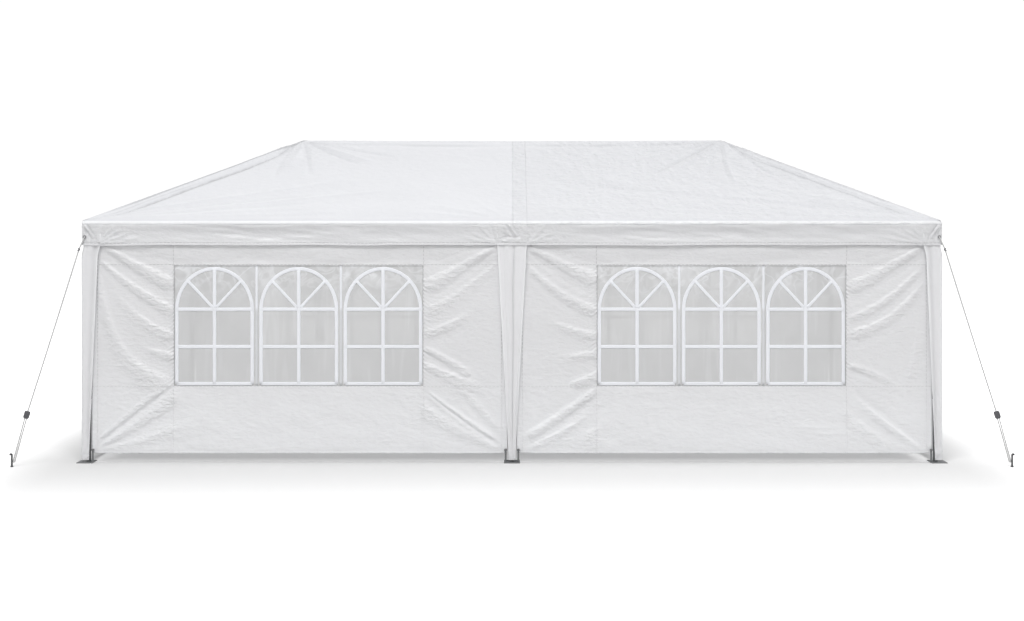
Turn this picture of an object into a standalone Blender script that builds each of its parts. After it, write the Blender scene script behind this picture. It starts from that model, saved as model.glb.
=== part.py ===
"""Marquee tent: a hipped cloth roof with a valance, on six legs and a scissor frame,
closed all round by window walls and held by four guy ropes.

Metres, +Z up. The origin is on the ground under the middle of the tent.
+X runs along the long front, and -Y faces the front.
"""

import math

import bmesh
import bpy
from mathutils import Matrix, Vector

# Roof and valance
LENGTH = 6.0
DEPTH = 3.0
EAVE_Z = 1.69
RIDGE_Z = 2.348
RIDGE_HALF = 1.70
CLOTH = 0.004
HIP_SEAM = 0.003
VALANCE_DROP = 0.169
VALANCE_TOP_GAP = 0.006

# Legs and feet
LEG_X = 2.965
LEG_Y = 1.462
LEG_TOP_Z = 1.692
UPPER_TUBE = 0.032
LOWER_TUBE = 0.025
TUBE_STEP_Z = 0.44
COLLAR = 0.042
COLLAR_HEIGHT = 0.060
PLATE = 0.110
PLATE_THICK = 0.005
PLATE_OFFSET = 0.014
PEG_RADIUS = 0.0065
PEG_HEAD_RADIUS = 0.010
PEG_HEAD_HEIGHT = 0.012
PEG_TOP_Z = 0.096
CORNER_PEG_OFFSET = 0.037
MIDDLE_PEG_OFFSET = 0.0445
PEG_OUT = 0.028

# Scissor frame
FRAME_OFFSET = 0.010
JOINT_LOW_Z = 1.37
JOINT_HIGH_Z = 1.635
BAR_WIDTH = 0.022
BAR_THICK = 0.010
BAR_SHIFT = 0.004
LUG_THICK = 0.022
LUG_LENGTH = 0.020
LUG_HEIGHT = 0.045
POLE_RADIUS = 0.014
POLE_TOP_DROP = 0.013

# Walls and windows
WALL_INSET = 0.025
WALL_BOTTOM_Z = 0.066
WALL_TOP_Z = 1.665
WALL_INNER_X = 0.035
WALL_CORNER_GAP = 0.065
WINDOW_WIDTH = 1.741
WINDOW_LOW_Z = 0.535
WINDOW_HIGH_Z = 1.378
WINDOW_LAP = 0.015
WINDOW_SHIFTS = {"front_left": -0.008, "front_right": -0.020}
FILM = 0.002

# Cloth covers of the legs
COVER_INSET = 0.006
COVER_TOP_Z = 1.60
COVER_BOTTOM_Z = 0.018
COVER_TOP_WIDTH = 0.125
COVER_BOTTOM_WIDTH = 0.036
COVER_TUCK = 0.0065
MIDDLE_COVER_TOP_WIDTH = 0.216
MIDDLE_COVER_BOTTOM_WIDTH = 0.044

# Guy ropes
ROPE_RADIUS = 0.004
GROMMET_X = 2.980
GROMMET_Z = 1.577
RING_X = 3.015
RING_OUT = 0.012
RING_Z = 1.497
STAKE_X = 3.433
STAKE_OUT = 0.145
STAKE_RADIUS = 0.006
STAKE_TOP_Z = 0.082
STAKE_DISC_RADIUS = 0.010
STAKE_DISC_THICK = 0.006
ROPE_END_Z = 0.030
ROPE_CLEARANCE = 0.001
TENSIONER_SHARE = 0.81
TENSIONER_SIZE = (0.016, 0.040, 0.052)

# Space between pieces that touch, and roundness
GAP = 0.0003
SAME_PLACE = 0.00001
ROUND_SIDES = 16
ROPE_ROUNDNESS = 2
SHARP_ANGLE = 40

HALF_LENGTH = LENGTH / 2
HALF_DEPTH = DEPTH / 2


def clear_scene():
    for obj in list(bpy.data.objects):
        bpy.data.objects.remove(obj, do_unlink=True)


def new_collection(name, hidden=False):
    collection = bpy.data.collections.new(name)
    collection.hide_render = hidden
    bpy.context.scene.collection.children.link(collection)
    return collection


def material(name, colour, roughness, metallic=0.0, alpha=1.0):
    made = bpy.data.materials.new(name)
    made.use_nodes = True
    shader = made.node_tree.nodes["Principled BSDF"]
    shader.inputs["Base Color"].default_value = (*colour, 1.0)
    shader.inputs["Roughness"].default_value = roughness
    shader.inputs["Metallic"].default_value = metallic
    shader.inputs["Alpha"].default_value = alpha
    made.diffuse_color = (*colour, alpha)
    return made


def mesh_object(name, bm, look, collection):
    """An object from a finished bmesh, in the given collection."""
    mesh = bpy.data.meshes.new(name)
    bm.to_mesh(mesh)
    bm.free()
    obj = bpy.data.objects.new(name, mesh)
    obj.data.materials.append(look)
    collection.objects.link(obj)
    if collection is HELPERS:
        obj.hide_render = True
        obj.display_type = "WIRE"
    return obj


def box(name, low, high, look, collection):
    """A box between two opposite corners, with its origin at its middle."""
    low, high = Vector(low), Vector(high)
    bm = bmesh.new()
    bmesh.ops.create_cube(bm, size=1.0)
    bmesh.ops.scale(bm, vec=high - low, verts=bm.verts)
    obj = mesh_object(name, bm, look, collection)
    obj.location = (low + high) / 2
    return obj


def cylinder(name, foot, height, radius, look, collection):
    """An upright cylinder that stands on the point foot."""
    bm = bmesh.new()
    bmesh.ops.create_cone(
        bm,
        cap_ends=True,
        segments=ROUND_SIDES,
        radius1=radius,
        radius2=radius,
        depth=height,
    )
    obj = mesh_object(name, bm, look, collection)
    obj.location = Vector(foot) + Vector((0, 0, height / 2))
    obj.data.shade_smooth()
    obj.data.set_sharp_from_angle(angle=math.radians(SHARP_ANGLE))
    return obj


def unite(base, helpers):
    """Joins the helpers to the base, which stays one body."""
    for helper in helpers:
        joint = base.modifiers.new(helper.name, "BOOLEAN")
        joint.operation = "UNION"
        joint.object = helper
    return base


def cut(base, cutter):
    opening = base.modifiers.new(cutter.name, "BOOLEAN")
    opening.operation = "DIFFERENCE"
    opening.object = cutter
    return base


def slope(name, eave_ends, ridge_ends):
    """One flat side of the roof: a sheet between its eave and the ridge, given inwards."""
    bm = bmesh.new()
    bmesh.ops.create_grid(bm, x_segments=1, y_segments=1, size=1.0)
    for vert in bm.verts:
        left, right = eave_ends if vert.co.y < 0 else ridge_ends
        vert.co = Vector(left if vert.co.x < 0 else right)
    obj = mesh_object(name, bm, CLOTH_WHITE, PIECES)
    thickness = obj.modifiers.new("thickness", "SOLIDIFY")
    thickness.thickness = CLOTH
    thickness.offset = -1.0
    return obj


def make_roof():
    corner = HALF_LENGTH - 2 * HIP_SEAM
    peak = RIDGE_HALF - HIP_SEAM
    for name, side in (("front", -1), ("back", 1)):
        eave = [(side * x, side * HALF_DEPTH, EAVE_Z) for x in (corner, -corner)]
        ridge = [(side * x, side * HIP_SEAM, RIDGE_Z) for x in (peak, -peak)]
        slope(f"canopy_{name}", eave, ridge)
    corner = HALF_DEPTH - 2 * HIP_SEAM
    for name, side in (("left", -1), ("right", 1)):
        eave = [(side * HALF_LENGTH, side * y, EAVE_Z) for y in (-corner, corner)]
        peak = [(side * RIDGE_HALF, side * y, RIDGE_Z) for y in (-HIP_SEAM, HIP_SEAM)]
        slope(f"canopy_{name}", eave, peak)


def make_valance():
    low, high = EAVE_Z - VALANCE_DROP, EAVE_Z - VALANCE_TOP_GAP
    for name, side in (("front", -1), ("back", 1)):
        faces = sorted((side * HALF_DEPTH, side * (HALF_DEPTH - CLOTH)))
        ends = (-HALF_LENGTH, faces[0], low), (HALF_LENGTH, faces[1], high)
        box(f"valance_{name}", *ends, CLOTH_WHITE, PIECES)
    reach = HALF_DEPTH - CLOTH - GAP
    for name, side in (("left", -1), ("right", 1)):
        faces = sorted((side * HALF_LENGTH, side * (HALF_LENGTH - CLOTH)))
        ends = (faces[0], -reach, low), (faces[1], reach, high)
        box(f"valance_{name}", *ends, CLOTH_WHITE, PIECES)


def wall(name, start, end, turn):
    """A wall panel with a window, made facing -Y between start and end, then turned about Z."""
    middle = (start + end) / 2 + WINDOW_SHIFTS.get(name, 0.0)
    outer = -(HALF_DEPTH - WALL_INSET)
    if turn % 180:
        outer = -(HALF_LENGTH - WALL_INSET)
    inner = outer + CLOTH
    half = WINDOW_WIDTH / 2
    low, high = (start, outer, WALL_BOTTOM_Z), (end, inner, WALL_TOP_Z)
    panel = box(f"wall_{name}", low, high, CLOTH_WHITE, PIECES)
    low = (middle - half, outer - CLOTH, WINDOW_LOW_Z)
    high = (middle + half, inner + CLOTH, WINDOW_HIGH_Z)
    opening = box(f"opening_{name}", low, high, CLOTH_WHITE, HELPERS)
    low = (middle - half - WINDOW_LAP, inner + GAP, WINDOW_LOW_Z - WINDOW_LAP)
    high = (middle + half + WINDOW_LAP, inner + GAP + FILM, WINDOW_HIGH_Z + WINDOW_LAP)
    film = box(f"window_{name}", low, high, CLEAR_FILM, PIECES)
    for piece in (panel, opening, film):
        turned = Matrix.Rotation(math.radians(turn), 4, "Z")
        piece.location = turned @ piece.location
        piece.rotation_euler.z = math.radians(turn)
    cut(panel, opening)


def make_walls():
    outer = HALF_LENGTH - WALL_CORNER_GAP
    wall("front_left", -outer, -WALL_INNER_X, 0)
    wall("front_right", WALL_INNER_X, outer, 0)
    wall("back_right", -outer, -WALL_INNER_X, 180)
    wall("back_left", WALL_INNER_X, outer, 180)
    half = HALF_DEPTH - WALL_CORNER_GAP
    wall("left", -half, half, -90)
    wall("right", -half, half, 90)


def square_tube(name, x, y, low, high, width, collection):
    half = width / 2
    ends = (x - half, y - half, low), (x + half, y + half, high)
    return box(name, *ends, STEEL, collection)


def leg(name, x, y):
    """A telescopic leg with its two frame collars, on a base plate that is pegged down."""
    upper = square_tube(f"leg_{name}", x, y, TUBE_STEP_Z, LEG_TOP_Z, UPPER_TUBE, PIECES)
    lower_ends = PLATE_THICK / 2, TUBE_STEP_Z + UPPER_TUBE
    helpers = [square_tube(f"{name}_lower", x, y, *lower_ends, LOWER_TUBE, HELPERS)]
    for label, z in (("top", JOINT_HIGH_Z), ("slider", JOINT_LOW_Z)):
        ends = z - COLLAR_HEIGHT / 2, z + COLLAR_HEIGHT / 2
        helpers.append(square_tube(f"{name}_{label}", x, y, *ends, COLLAR, HELPERS))
    outward = math.copysign(1, x) if x else 0
    peg_y = y + math.copysign(PEG_OUT, y)
    plate_x = x + outward * PLATE_OFFSET
    helpers.append(
        square_tube(f"{name}_plate", plate_x, y, 0, PLATE_THICK, PLATE, HELPERS)
    )
    peg_places = [-MIDDLE_PEG_OFFSET, MIDDLE_PEG_OFFSET]
    if outward:
        peg_places = [x - outward * CORNER_PEG_OFFSET]
    for number, peg_x in enumerate(peg_places):
        foot = (peg_x, peg_y, PLATE_THICK / 2)
        height = PEG_TOP_Z - PLATE_THICK / 2 - PEG_HEAD_HEIGHT / 2
        rod = cylinder(f"{name}_peg_{number}", foot, height, PEG_RADIUS, STEEL, HELPERS)
        foot = (peg_x, peg_y, PEG_TOP_Z - PEG_HEAD_HEIGHT)
        head_size = PEG_HEAD_HEIGHT, PEG_HEAD_RADIUS
        head = cylinder(f"{name}_peg_head_{number}", foot, *head_size, STEEL, HELPERS)
        helpers += [rod, head]
    return unite(upper, helpers)


def make_legs():
    for column, x in (("left", -LEG_X), ("middle", 0.0), ("right", LEG_X)):
        for row, y in (("front", -LEG_Y), ("back", LEG_Y)):
            leg(f"{row}_{column}", x, y)


def bar(name, start, end, shift):
    """A flat bar between two points, on edge, moved sideways by shift."""
    start, end = Vector(start), Vector(end)
    along = (end - start).normalized()
    side = along.cross(Vector((0, 0, 1))).normalized()
    up = side.cross(along)
    bm = bmesh.new()
    bmesh.ops.create_cube(bm, size=1.0)
    size = Vector(((end - start).length + LUG_LENGTH / 2, BAR_THICK, BAR_WIDTH))
    bmesh.ops.scale(bm, vec=size, verts=bm.verts)
    obj = mesh_object(name, bm, STEEL, HELPERS)
    axes = Matrix((along, -side, up)).transposed()
    obj.rotation_euler = axes.to_euler()
    obj.location = (start + end) / 2 + side * shift
    return obj


def lug(name, place, turned, collection):
    """The block that holds the bars' ends at one joint."""
    half = Vector((LUG_LENGTH / 2, LUG_THICK / 2, LUG_HEIGHT / 2))
    if turned:
        half = Vector((half.y, half.x, half.z))
    place = Vector(place)
    return box(name, place - half, place + half, STEEL, collection)


def truss(name, stations):
    """Crossed bars between neighbouring stations, which are points on one level line."""
    turned = stations[0][0] == stations[-1][0]
    low, high = JOINT_LOW_Z, JOINT_HIGH_Z
    base = lug(name, (*stations[0], low), turned, PIECES)
    helpers = []
    for number, (a, b) in enumerate(zip(stations, stations[1:])):
        helpers.append(bar(f"{name}_rising_{number}", (*a, low), (*b, high), BAR_SHIFT))
        helpers.append(bar(f"{name}_falling_{number}", (*a, high), (*b, low), -BAR_SHIFT))
    for number, place in enumerate(stations):
        helpers.append(lug(f"{name}_high_{number}", (*place, high), turned, HELPERS))
        if number:
            helpers.append(lug(f"{name}_low_{number}", (*place, low), turned, HELPERS))
    return unite(base, helpers)


def make_frame():
    frame_x, frame_y = LEG_X - FRAME_OFFSET, LEG_Y - FRAME_OFFSET
    reach = COLLAR / 2 + GAP + LUG_LENGTH / 2
    outer_x, inner_x = LEG_X - reach, reach
    for row, y in (("front", -frame_y), ("back", frame_y)):
        for column, side in (("left", -1), ("right", 1)):
            ends = side * outer_x, side * inner_x
            middle = sum(ends) / 2
            truss(f"truss_{row}_{column}", [(x, y) for x in (ends[0], middle, ends[1])])
    outer_y = LEG_Y - reach
    for column, x in (("left", -frame_x), ("middle", 0.0), ("right", frame_x)):
        truss(f"truss_{column}", [(x, y) for y in (-outer_y, 0.0, outer_y)])
    near = LUG_THICK / 2 + GAP + LUG_LENGTH / 2
    for column, side in (("left", -1), ("right", 1)):
        stations = [(side * x, 0.0) for x in (frame_x - near, RIDGE_HALF, near)]
        truss(f"truss_peak_{column}", stations)
        foot = Vector((side * RIDGE_HALF, 0, JOINT_HIGH_Z + LUG_HEIGHT / 2 + GAP))
        height = RIDGE_Z - POLE_TOP_DROP - foot.z
        cylinder(f"peak_pole_{column}", foot, height, POLE_RADIUS, STEEL, PIECES)


def as_mesh(guide, name, look):
    """The guide curve as a closed mesh object, in place of the curve."""
    graph = bpy.context.evaluated_depsgraph_get()
    mesh = bpy.data.meshes.new_from_object(guide.evaluated_get(graph))
    bm = bmesh.new()
    bm.from_mesh(mesh)
    bmesh.ops.remove_doubles(bm, verts=bm.verts, dist=SAME_PLACE)
    bmesh.ops.recalc_face_normals(bm, faces=bm.faces)
    solid = mesh_object(name, bm, look, PIECES)
    bpy.data.meshes.remove(mesh)
    solid.matrix_world = guide.matrix_world
    bpy.data.objects.remove(guide)
    return solid


def strip(name, outline, look):
    """An upright sheet of cloth from a flat outline in plan, from the covers' bottom to top."""
    curve = bpy.data.curves.new(name, "CURVE")
    curve.dimensions = "2D"
    curve.fill_mode = "BOTH"
    curve.extrude = (COVER_TOP_Z - COVER_BOTTOM_Z) / 2
    spline = curve.splines.new("POLY")
    spline.points.add(len(outline) - 1)
    for point, (x, y) in zip(spline.points, outline):
        point.co = (x, y, 0, 1)
    spline.use_cyclic_u = True
    guide = bpy.data.objects.new(f"{name}_guide", curve)
    bpy.context.scene.collection.objects.link(guide)
    guide.location.z = (COVER_TOP_Z + COVER_BOTTOM_Z) / 2
    bpy.context.view_layer.update()
    solid = as_mesh(guide, name, look)
    solid.data.transform(solid.matrix_world)
    solid.matrix_world = Matrix.Identity(4)
    return solid


def taper_arms(cover, corner, tuck, share):
    """Narrows an upright sheet downwards, towards its corner, and keeps the cloth's thickness."""
    for vert in cover.data.vertices:
        down = (COVER_TOP_Z - vert.co.z) / (COVER_TOP_Z - COVER_BOTTOM_Z)
        for axis in (0, 1):
            away = vert.co[axis] - corner[axis]
            if abs(away) > CLOTH + SAME_PLACE:
                away *= 1 - down * (1 - share)
            vert.co[axis] = corner[axis] + away + tuck[axis] * down


def make_covers():
    edge_x, edge_y = HALF_LENGTH, HALF_DEPTH - COVER_INSET
    share = COVER_BOTTOM_WIDTH / COVER_TOP_WIDTH
    for row, face in (("front", -1), ("back", 1)):
        for column, side in (("left", -1), ("right", 1)):
            x, y = side * (edge_x - COVER_INSET), face * edge_y
            far_x, far_y = x - side * COVER_TOP_WIDTH, y - face * COVER_TOP_WIDTH
            inner_x, inner_y = x - side * CLOTH, y - face * CLOTH
            ell = [
                (x, y),
                (far_x, y),
                (far_x, inner_y),
                (inner_x, inner_y),
                (inner_x, far_y),
                (x, far_y),
            ]
            cover = strip(f"leg_cover_{row}_{column}", ell, CLOTH_WHITE)
            taper_arms(cover, (x, y), (0, -face * COVER_TUCK), share)
        half = MIDDLE_COVER_TOP_WIDTH / 2
        y = face * edge_y
        flat = [(-half, y), (half, y), (half, y - face * CLOTH), (-half, y - face * CLOTH)]
        cover = strip(f"leg_cover_{row}_middle", flat, CLOTH_WHITE)
        tuck = (0, -face * COVER_TUCK)
        middle_share = MIDDLE_COVER_BOTTOM_WIDTH / MIDDLE_COVER_TOP_WIDTH
        taper_arms(cover, (0, y), tuck, middle_share)


def guy_rope(name, side, face):
    """A taut rope from the valance's grommet over its ring down to the stake, with its tensioner."""
    grommet = Vector((side * GROMMET_X, face * (HALF_DEPTH + ROPE_RADIUS + GAP), GROMMET_Z))
    ring = Vector((side * RING_X, face * (HALF_DEPTH + RING_OUT), RING_Z))
    stake = Vector((side * STAKE_X, face * (HALF_DEPTH + STAKE_OUT), ROPE_END_Z))
    inward = Vector((ring.x - stake.x, ring.y - stake.y, 0)).normalized()
    end = stake + inward * (STAKE_RADIUS + ROPE_RADIUS + ROPE_CLEARANCE)
    curve = bpy.data.curves.new(name, "CURVE")
    curve.dimensions = "3D"
    curve.bevel_depth = ROPE_RADIUS
    curve.bevel_resolution = ROPE_ROUNDNESS
    curve.use_fill_caps = True
    route = (grommet, ring, end)
    spline = curve.splines.new("POLY")
    spline.points.add(len(route) - 1)
    for point, place in zip(spline.points, route):
        point.co = (*place, 1)
    guide = bpy.data.objects.new(f"{name}_guide", curve)
    bpy.context.scene.collection.objects.link(guide)
    bpy.context.view_layer.update()
    rope = as_mesh(guide, name, ROPE)
    half = Vector(TENSIONER_SIZE) / 2
    block = box(f"{name}_tensioner", -half, half, ROPE, HELPERS)
    block.location = ring.lerp(end, TENSIONER_SHARE)
    block.rotation_euler = (ring - end).to_track_quat("Z", "Y").to_euler()
    return unite(rope, [block])


def stake(name, side, face):
    place = (side * STAKE_X, face * (HALF_DEPTH + STAKE_OUT), 0)
    rod = cylinder(name, place, STAKE_TOP_Z, STAKE_RADIUS, STEEL, PIECES)
    disc_size = STAKE_DISC_THICK, STAKE_DISC_RADIUS
    disc = cylinder(f"{name}_disc", place, *disc_size, STEEL, HELPERS)
    return unite(rod, [disc])


def make_guys():
    for row, face in (("front", -1), ("back", 1)):
        for column, side in (("left", -1), ("right", 1)):
            guy_rope(f"guy_rope_{row}_{column}", side, face)
            stake(f"guy_stake_{row}_{column}", side, face)


clear_scene()
PIECES = new_collection("marquee_tent")
HELPERS = new_collection("cutters", hidden=True)
CLOTH_WHITE = material("cloth_white", (0.86, 0.87, 0.88), 0.45)
CLEAR_FILM = material("clear_film", (0.75, 0.77, 0.79), 0.12, alpha=0.35)
STEEL = material("steel", (0.36, 0.37, 0.38), 0.42, 0.8)
ROPE = material("rope", (0.62, 0.62, 0.60), 0.7)
make_roof()
make_valance()
make_walls()
make_legs()
make_frame()
make_covers()
make_guys()
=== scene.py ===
"""Looks of a white party tent with six windowed walls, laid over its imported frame."""

import math

import bmesh
import bpy
import numpy as np
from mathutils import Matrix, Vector


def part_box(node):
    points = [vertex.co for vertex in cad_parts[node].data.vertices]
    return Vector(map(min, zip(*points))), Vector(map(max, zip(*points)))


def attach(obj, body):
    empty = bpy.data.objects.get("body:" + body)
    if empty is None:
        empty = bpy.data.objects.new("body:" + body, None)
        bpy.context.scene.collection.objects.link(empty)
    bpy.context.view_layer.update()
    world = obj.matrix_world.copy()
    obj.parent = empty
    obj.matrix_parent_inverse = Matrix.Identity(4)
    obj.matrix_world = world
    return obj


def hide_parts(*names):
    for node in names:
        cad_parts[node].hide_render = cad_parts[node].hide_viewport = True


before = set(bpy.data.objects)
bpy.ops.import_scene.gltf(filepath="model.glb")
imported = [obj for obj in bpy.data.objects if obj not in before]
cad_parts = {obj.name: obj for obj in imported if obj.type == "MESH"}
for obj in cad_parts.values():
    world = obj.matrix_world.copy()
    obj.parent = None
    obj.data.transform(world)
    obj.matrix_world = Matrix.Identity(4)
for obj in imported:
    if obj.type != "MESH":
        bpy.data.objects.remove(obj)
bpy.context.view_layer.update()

# Camera, from the photograph's frame
PHOTO_WIDTH = 1024
PHOTO_HEIGHT = 621
FOCUS_PIXELS = 1290
HORIZON_ROW = 225
EYE = (0.0, -10.5, 1.66)
SENSOR = 36.0

# Driving sizes read from the frame, in metres
EAVE_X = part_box("canopy_left")[0].x * -1
EAVE_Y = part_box("canopy_front")[0].y * -1
EAVE_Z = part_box("canopy_front")[0].z + 0.004
RIDGE_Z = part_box("canopy_front")[1].z
RIDGE_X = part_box("canopy_right")[0].x + 0.0018
VALANCE_LOW, VALANCE_HIGH = (corner.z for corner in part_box("valance_front"))
WALL_LOW, WALL_HIGH = (corner.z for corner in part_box("wall_front_left"))
FILM_LOW, FILM_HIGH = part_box("window_front_left")
WINDOW_LAP = 0.015
WINDOW_HALF = (FILM_HIGH.x - FILM_LOW.x) / 2 - WINDOW_LAP
WINDOW_LOW = FILM_LOW.z + WINDOW_LAP
WINDOW_HIGH = FILM_HIGH.z - WINDOW_LAP

# Roof cloth and valance
RIM_RADIUS = 0.019
RIM_TURN = math.radians(125)
RIM_RINGS = 9
ROOF_SAG = 0.012
RIDGE_SAG = 0.006
PEAK_GAIN = 1.25
HIP_BAND = 0.158
CENTRE_BAND = 0.105
ROOF_STEPS = {"front": 520, "right": 112, "back": 190, "left": 112}
ROOF_LEVELS = 96
VALANCE_GAIN = 1.5
HEM_CORD = 0.0028

# Folds, noise and the weld of lying points
FOLD_PIECES = 9
QUICK_RISE = 0.16
SLOW_RISE = 0.55
BROAD_START = 0.020
LATTICE = 97
WELD = 0.00005

# Walls and leg covers
PANEL_MIDDLE = 1.485
PANEL_HALF = 1.450
HEM_INSET = 0.037
SEAM_STEP = 0.004
PUCKER_PITCH = 0.029
BOTTOM_HEM = 0.014
FINE_CELL = 0.0066
PLAIN_CELL = 0.0138
FOLD_GAIN = 1.25
VALLEY_SHARE = 0.55
FOLD_START = 1.4
FOLD_SPREAD = 1.65
FOLD_LEAN = 0.42
WALL_BULGE = 0.011
WALL_FLARE = 0.014
COVER_BULGE = 0.014
COVER_LEAN = 0.0065
COVER_CORNER = 0.010
CORNER_COVER = (0.124, 0.052)
MIDDLE_COVER = (0.108, 0.022)

# Window bars, three arched sets on one sheet of film
ARCH_PITCH = 0.590
ARCH_HALF = 0.2765
BAR_HALF = 0.0125
BAR_THICK = 0.003
ARCH_TOP = 1.366
UPPER_BAR = 1.070
MIDDLE_BAR = 0.808
LOWER_BAR = 0.549
DIVIDER_HALF = 0.008

# Ropes, their rings and stakes, as in the frame
ROPE_RADIUS = 0.0056
LOOP_RADIUS = ROPE_RADIUS * 0.8
ROPE_TWIST = 0.030
ROPE_STRANDS = 3
STRAND_RISE = 0.06
UV_RADIUS = 0.004
ROPE_STEP = 0.004
ROPE_STAND_OFF = 0.012
GROMMET = (2.980, 1.5043, 1.577)
RING = (3.015, 1.512, 1.497)
STAKE = (3.433, 1.645, 0.034)
TENSIONER_SHARE = 0.782
TENSIONER_HALF = (0.009, 0.020, 0.027)
BLOCK_POWER = 0.45
HOOK_BEND = 0.006
HOOK_RADIUS = 0.0055

# Light: radiance of the white surround, floor glow, and lamps as place, size, watts and aim
SKY = 0.46
SKY_SEEN = 1.02
# The floor's glow is painted light and shade: FLOOR_NEAR at the tent's outline, a painted shadow round it,
# rising to FLOOR_FAR; UNDER_GLOW is painted light in the shade under the tent.
FLOOR_NEAR = 0.0
FLOOR_FAR = 1.0
FLOOR_BOUNCE = 0.16
FLOOR_FADE = 3.6
SIDE_FADE = 2.8
FLOOR_TINT = (0.725, 0.725, 0.725)
FLOOR_REACH = 150.0
UNDER_GLOW = 0.30
UNDER_DEPTH = 1.6
LAMPS = {
    "key": ((-1.5, -10.5, 16.5), (12.0, 5.0), 2230.0, (0, -1.0, 1.0)),
    "side": ((14.0, -1.5, 6.0), (3.0, 2.0), 500.0, (0, -1.0, 2.0)),
    "back": ((0.0, 9.0, 9.0), (24.0, 5.0), 420.0, (0, 1.0, 1.0)),
}

# Materials
FILM_HAZE = 0.78
# White towards which painted light is mixed into the cloth's colour
PAINTED_LIGHT_WHITE = (0.93, 0.935, 0.95)

# The four sides: the way out, and the way along with the outside in view and the left end first
SIDES = {
    "front": ((0.0, -1.0), (1.0, 0.0)),
    "back": ((0.0, 1.0), (-1.0, 0.0)),
    "left": ((-1.0, 0.0), (0.0, -1.0)),
    "right": ((1.0, 0.0), (0.0, 1.0)),
}
LONG_SIDES = ("front", "back")


def link_object(name, data):
    """An object with this data, in the scene."""
    made = bpy.data.objects.new(name, data)
    bpy.context.scene.collection.objects.link(made)
    return made


def make_camera():
    """The camera at the photograph's eye height, level, with its picture moved down by a lens shift."""
    data = bpy.data.cameras.new("camera")
    data.sensor_width = SENSOR
    data.lens = SENSOR * FOCUS_PIXELS / PHOTO_WIDTH
    data.shift_y = (HORIZON_ROW - PHOTO_HEIGHT / 2) / PHOTO_WIDTH
    data.clip_end = 400
    camera = link_object("camera", data)
    camera.location = EYE
    camera.rotation_euler = (math.pi / 2, 0, 0)
    bpy.context.scene.camera = camera


# Numbers laid over a grid


def smooth(value, low, high):
    """A soft step: 0 below low, 1 above high, and the cubic 3t^2 - 2t^3 between."""
    t = np.clip((value - low) / (high - low), 0.0, 1.0)
    return t * t * (3 - 2 * t)


def hump(value, rise, fall):
    """A soft step up over the first pair of values and back down over the second."""
    return smooth(value, *rise) * (1 - smooth(value, *fall))


def bell(value, width):
    """A bell curve of height 1 whose half width is width."""
    return np.exp(-((value / width) ** 2))


def noise(x, y, size, seed):
    """Soft random heights from -1 to 1: a seeded lattice with the given spacing, blended by soft steps."""
    table = np.random.default_rng(seed).uniform(-1, 1, (LATTICE, LATTICE))
    u, v = np.asarray(x) / size, np.asarray(y) / size
    i, j = np.floor(u).astype(int), np.floor(v).astype(int)
    a, b = smooth(u - i, 0, 1), smooth(v - j, 0, 1)
    i, j, i1, j1 = (k % LATTICE for k in (i, j, i + 1, j + 1))
    low = table[i, j] * (1 - a) + table[i1, j] * a
    high = table[i, j1] * (1 - a) + table[i1, j1] * a
    return low * (1 - b) + high * b


def crumple(x, y, size, seed):
    """Sharp-crested crumples from -1 to 1: one minus twice the size of two bent noises, added."""
    bend = size * 0.7
    x1 = x + bend * noise(x, y, size * 2.1, seed + 1)
    y1 = y + bend * noise(x, y, size * 1.9, seed + 2)
    coarse = 1 - 2 * np.abs(noise(x1, y1, size, seed + 3))
    fine = 1 - 2 * np.abs(noise(x1, y1, size * 0.53, seed + 4))
    return 0.65 * coarse + 0.35 * fine


def marks(places, steps):
    """Grid lines that hit every place, with each gap shared evenly at about its own step."""
    lines = [places[0]]
    for start, end, step in zip(places[:-1], places[1:], steps):
        count = max(1, round((end - start) / step))
        lines.extend(np.linspace(start, end, count + 1)[1:])
    return np.array(lines)


def fold(x, y, line, height, narrow, wide, lean=0.0):
    """Height of one fold of cloth.

    The fold follows a curve of the second degree from its first point past its second to its third.
    Its height falls off sideways as a bell, whose half width grows from narrow to wide along it. By
    lean it is narrower on the side that faces up, above a ridge and below a valley, and wider on the
    other. It rises over its first sixth, or its first half if it starts broad, and drops to a quarter
    over its last part.
    """
    start, bend, end = (np.array(p, float) for p in line)
    t = np.linspace(0, 1, FOLD_PIECES + 1)[:, None]
    path = (1 - t) ** 2 * start + 2 * t * (1 - t) * bend + t**2 * end
    nearest = np.full(np.shape(x), np.inf)
    along, turn = np.zeros(np.shape(x)), np.zeros(np.shape(x))
    for k in range(FOLD_PIECES):
        step = path[k + 1] - path[k]
        share = ((x - path[k, 0]) * step[0] + (y - path[k, 1]) * step[1]) / (step @ step)
        share = np.clip(share, 0, 1)
        dx = x - path[k, 0] - share * step[0]
        dy = y - path[k, 1] - share * step[1]
        gap = dx * dx + dy * dy
        nearer = gap < nearest
        nearest = np.where(nearer, gap, nearest)
        along = np.where(nearer, (k + share) / FOLD_PIECES, along)
        turn = np.where(nearer, np.sign((step[0] * dy - step[1] * dx) * step[0] * height), turn)
    width = (narrow + (wide - narrow) * along) * (1 - lean * turn)
    rise = QUICK_RISE if narrow < BROAD_START else SLOW_RISE
    ends = smooth(along, -0.02, rise) * (1 - 0.75 * smooth(along, 0.85, 1.0))
    return height * ends * np.exp(-nearest / width**2)


def in_metres(row):
    """A fold's line, height and two half widths, from a row of millimetres."""
    return np.reshape(row[:6], (3, 2)) / 1000, row[6] / 1000, row[7] / 1000, row[8] / 1000


def fan_height(x, y, rows):
    """The sum of a table of folds."""
    return sum(fold(x, y, *in_metres(row)) for row in rows)


# Meshes from grids


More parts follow.
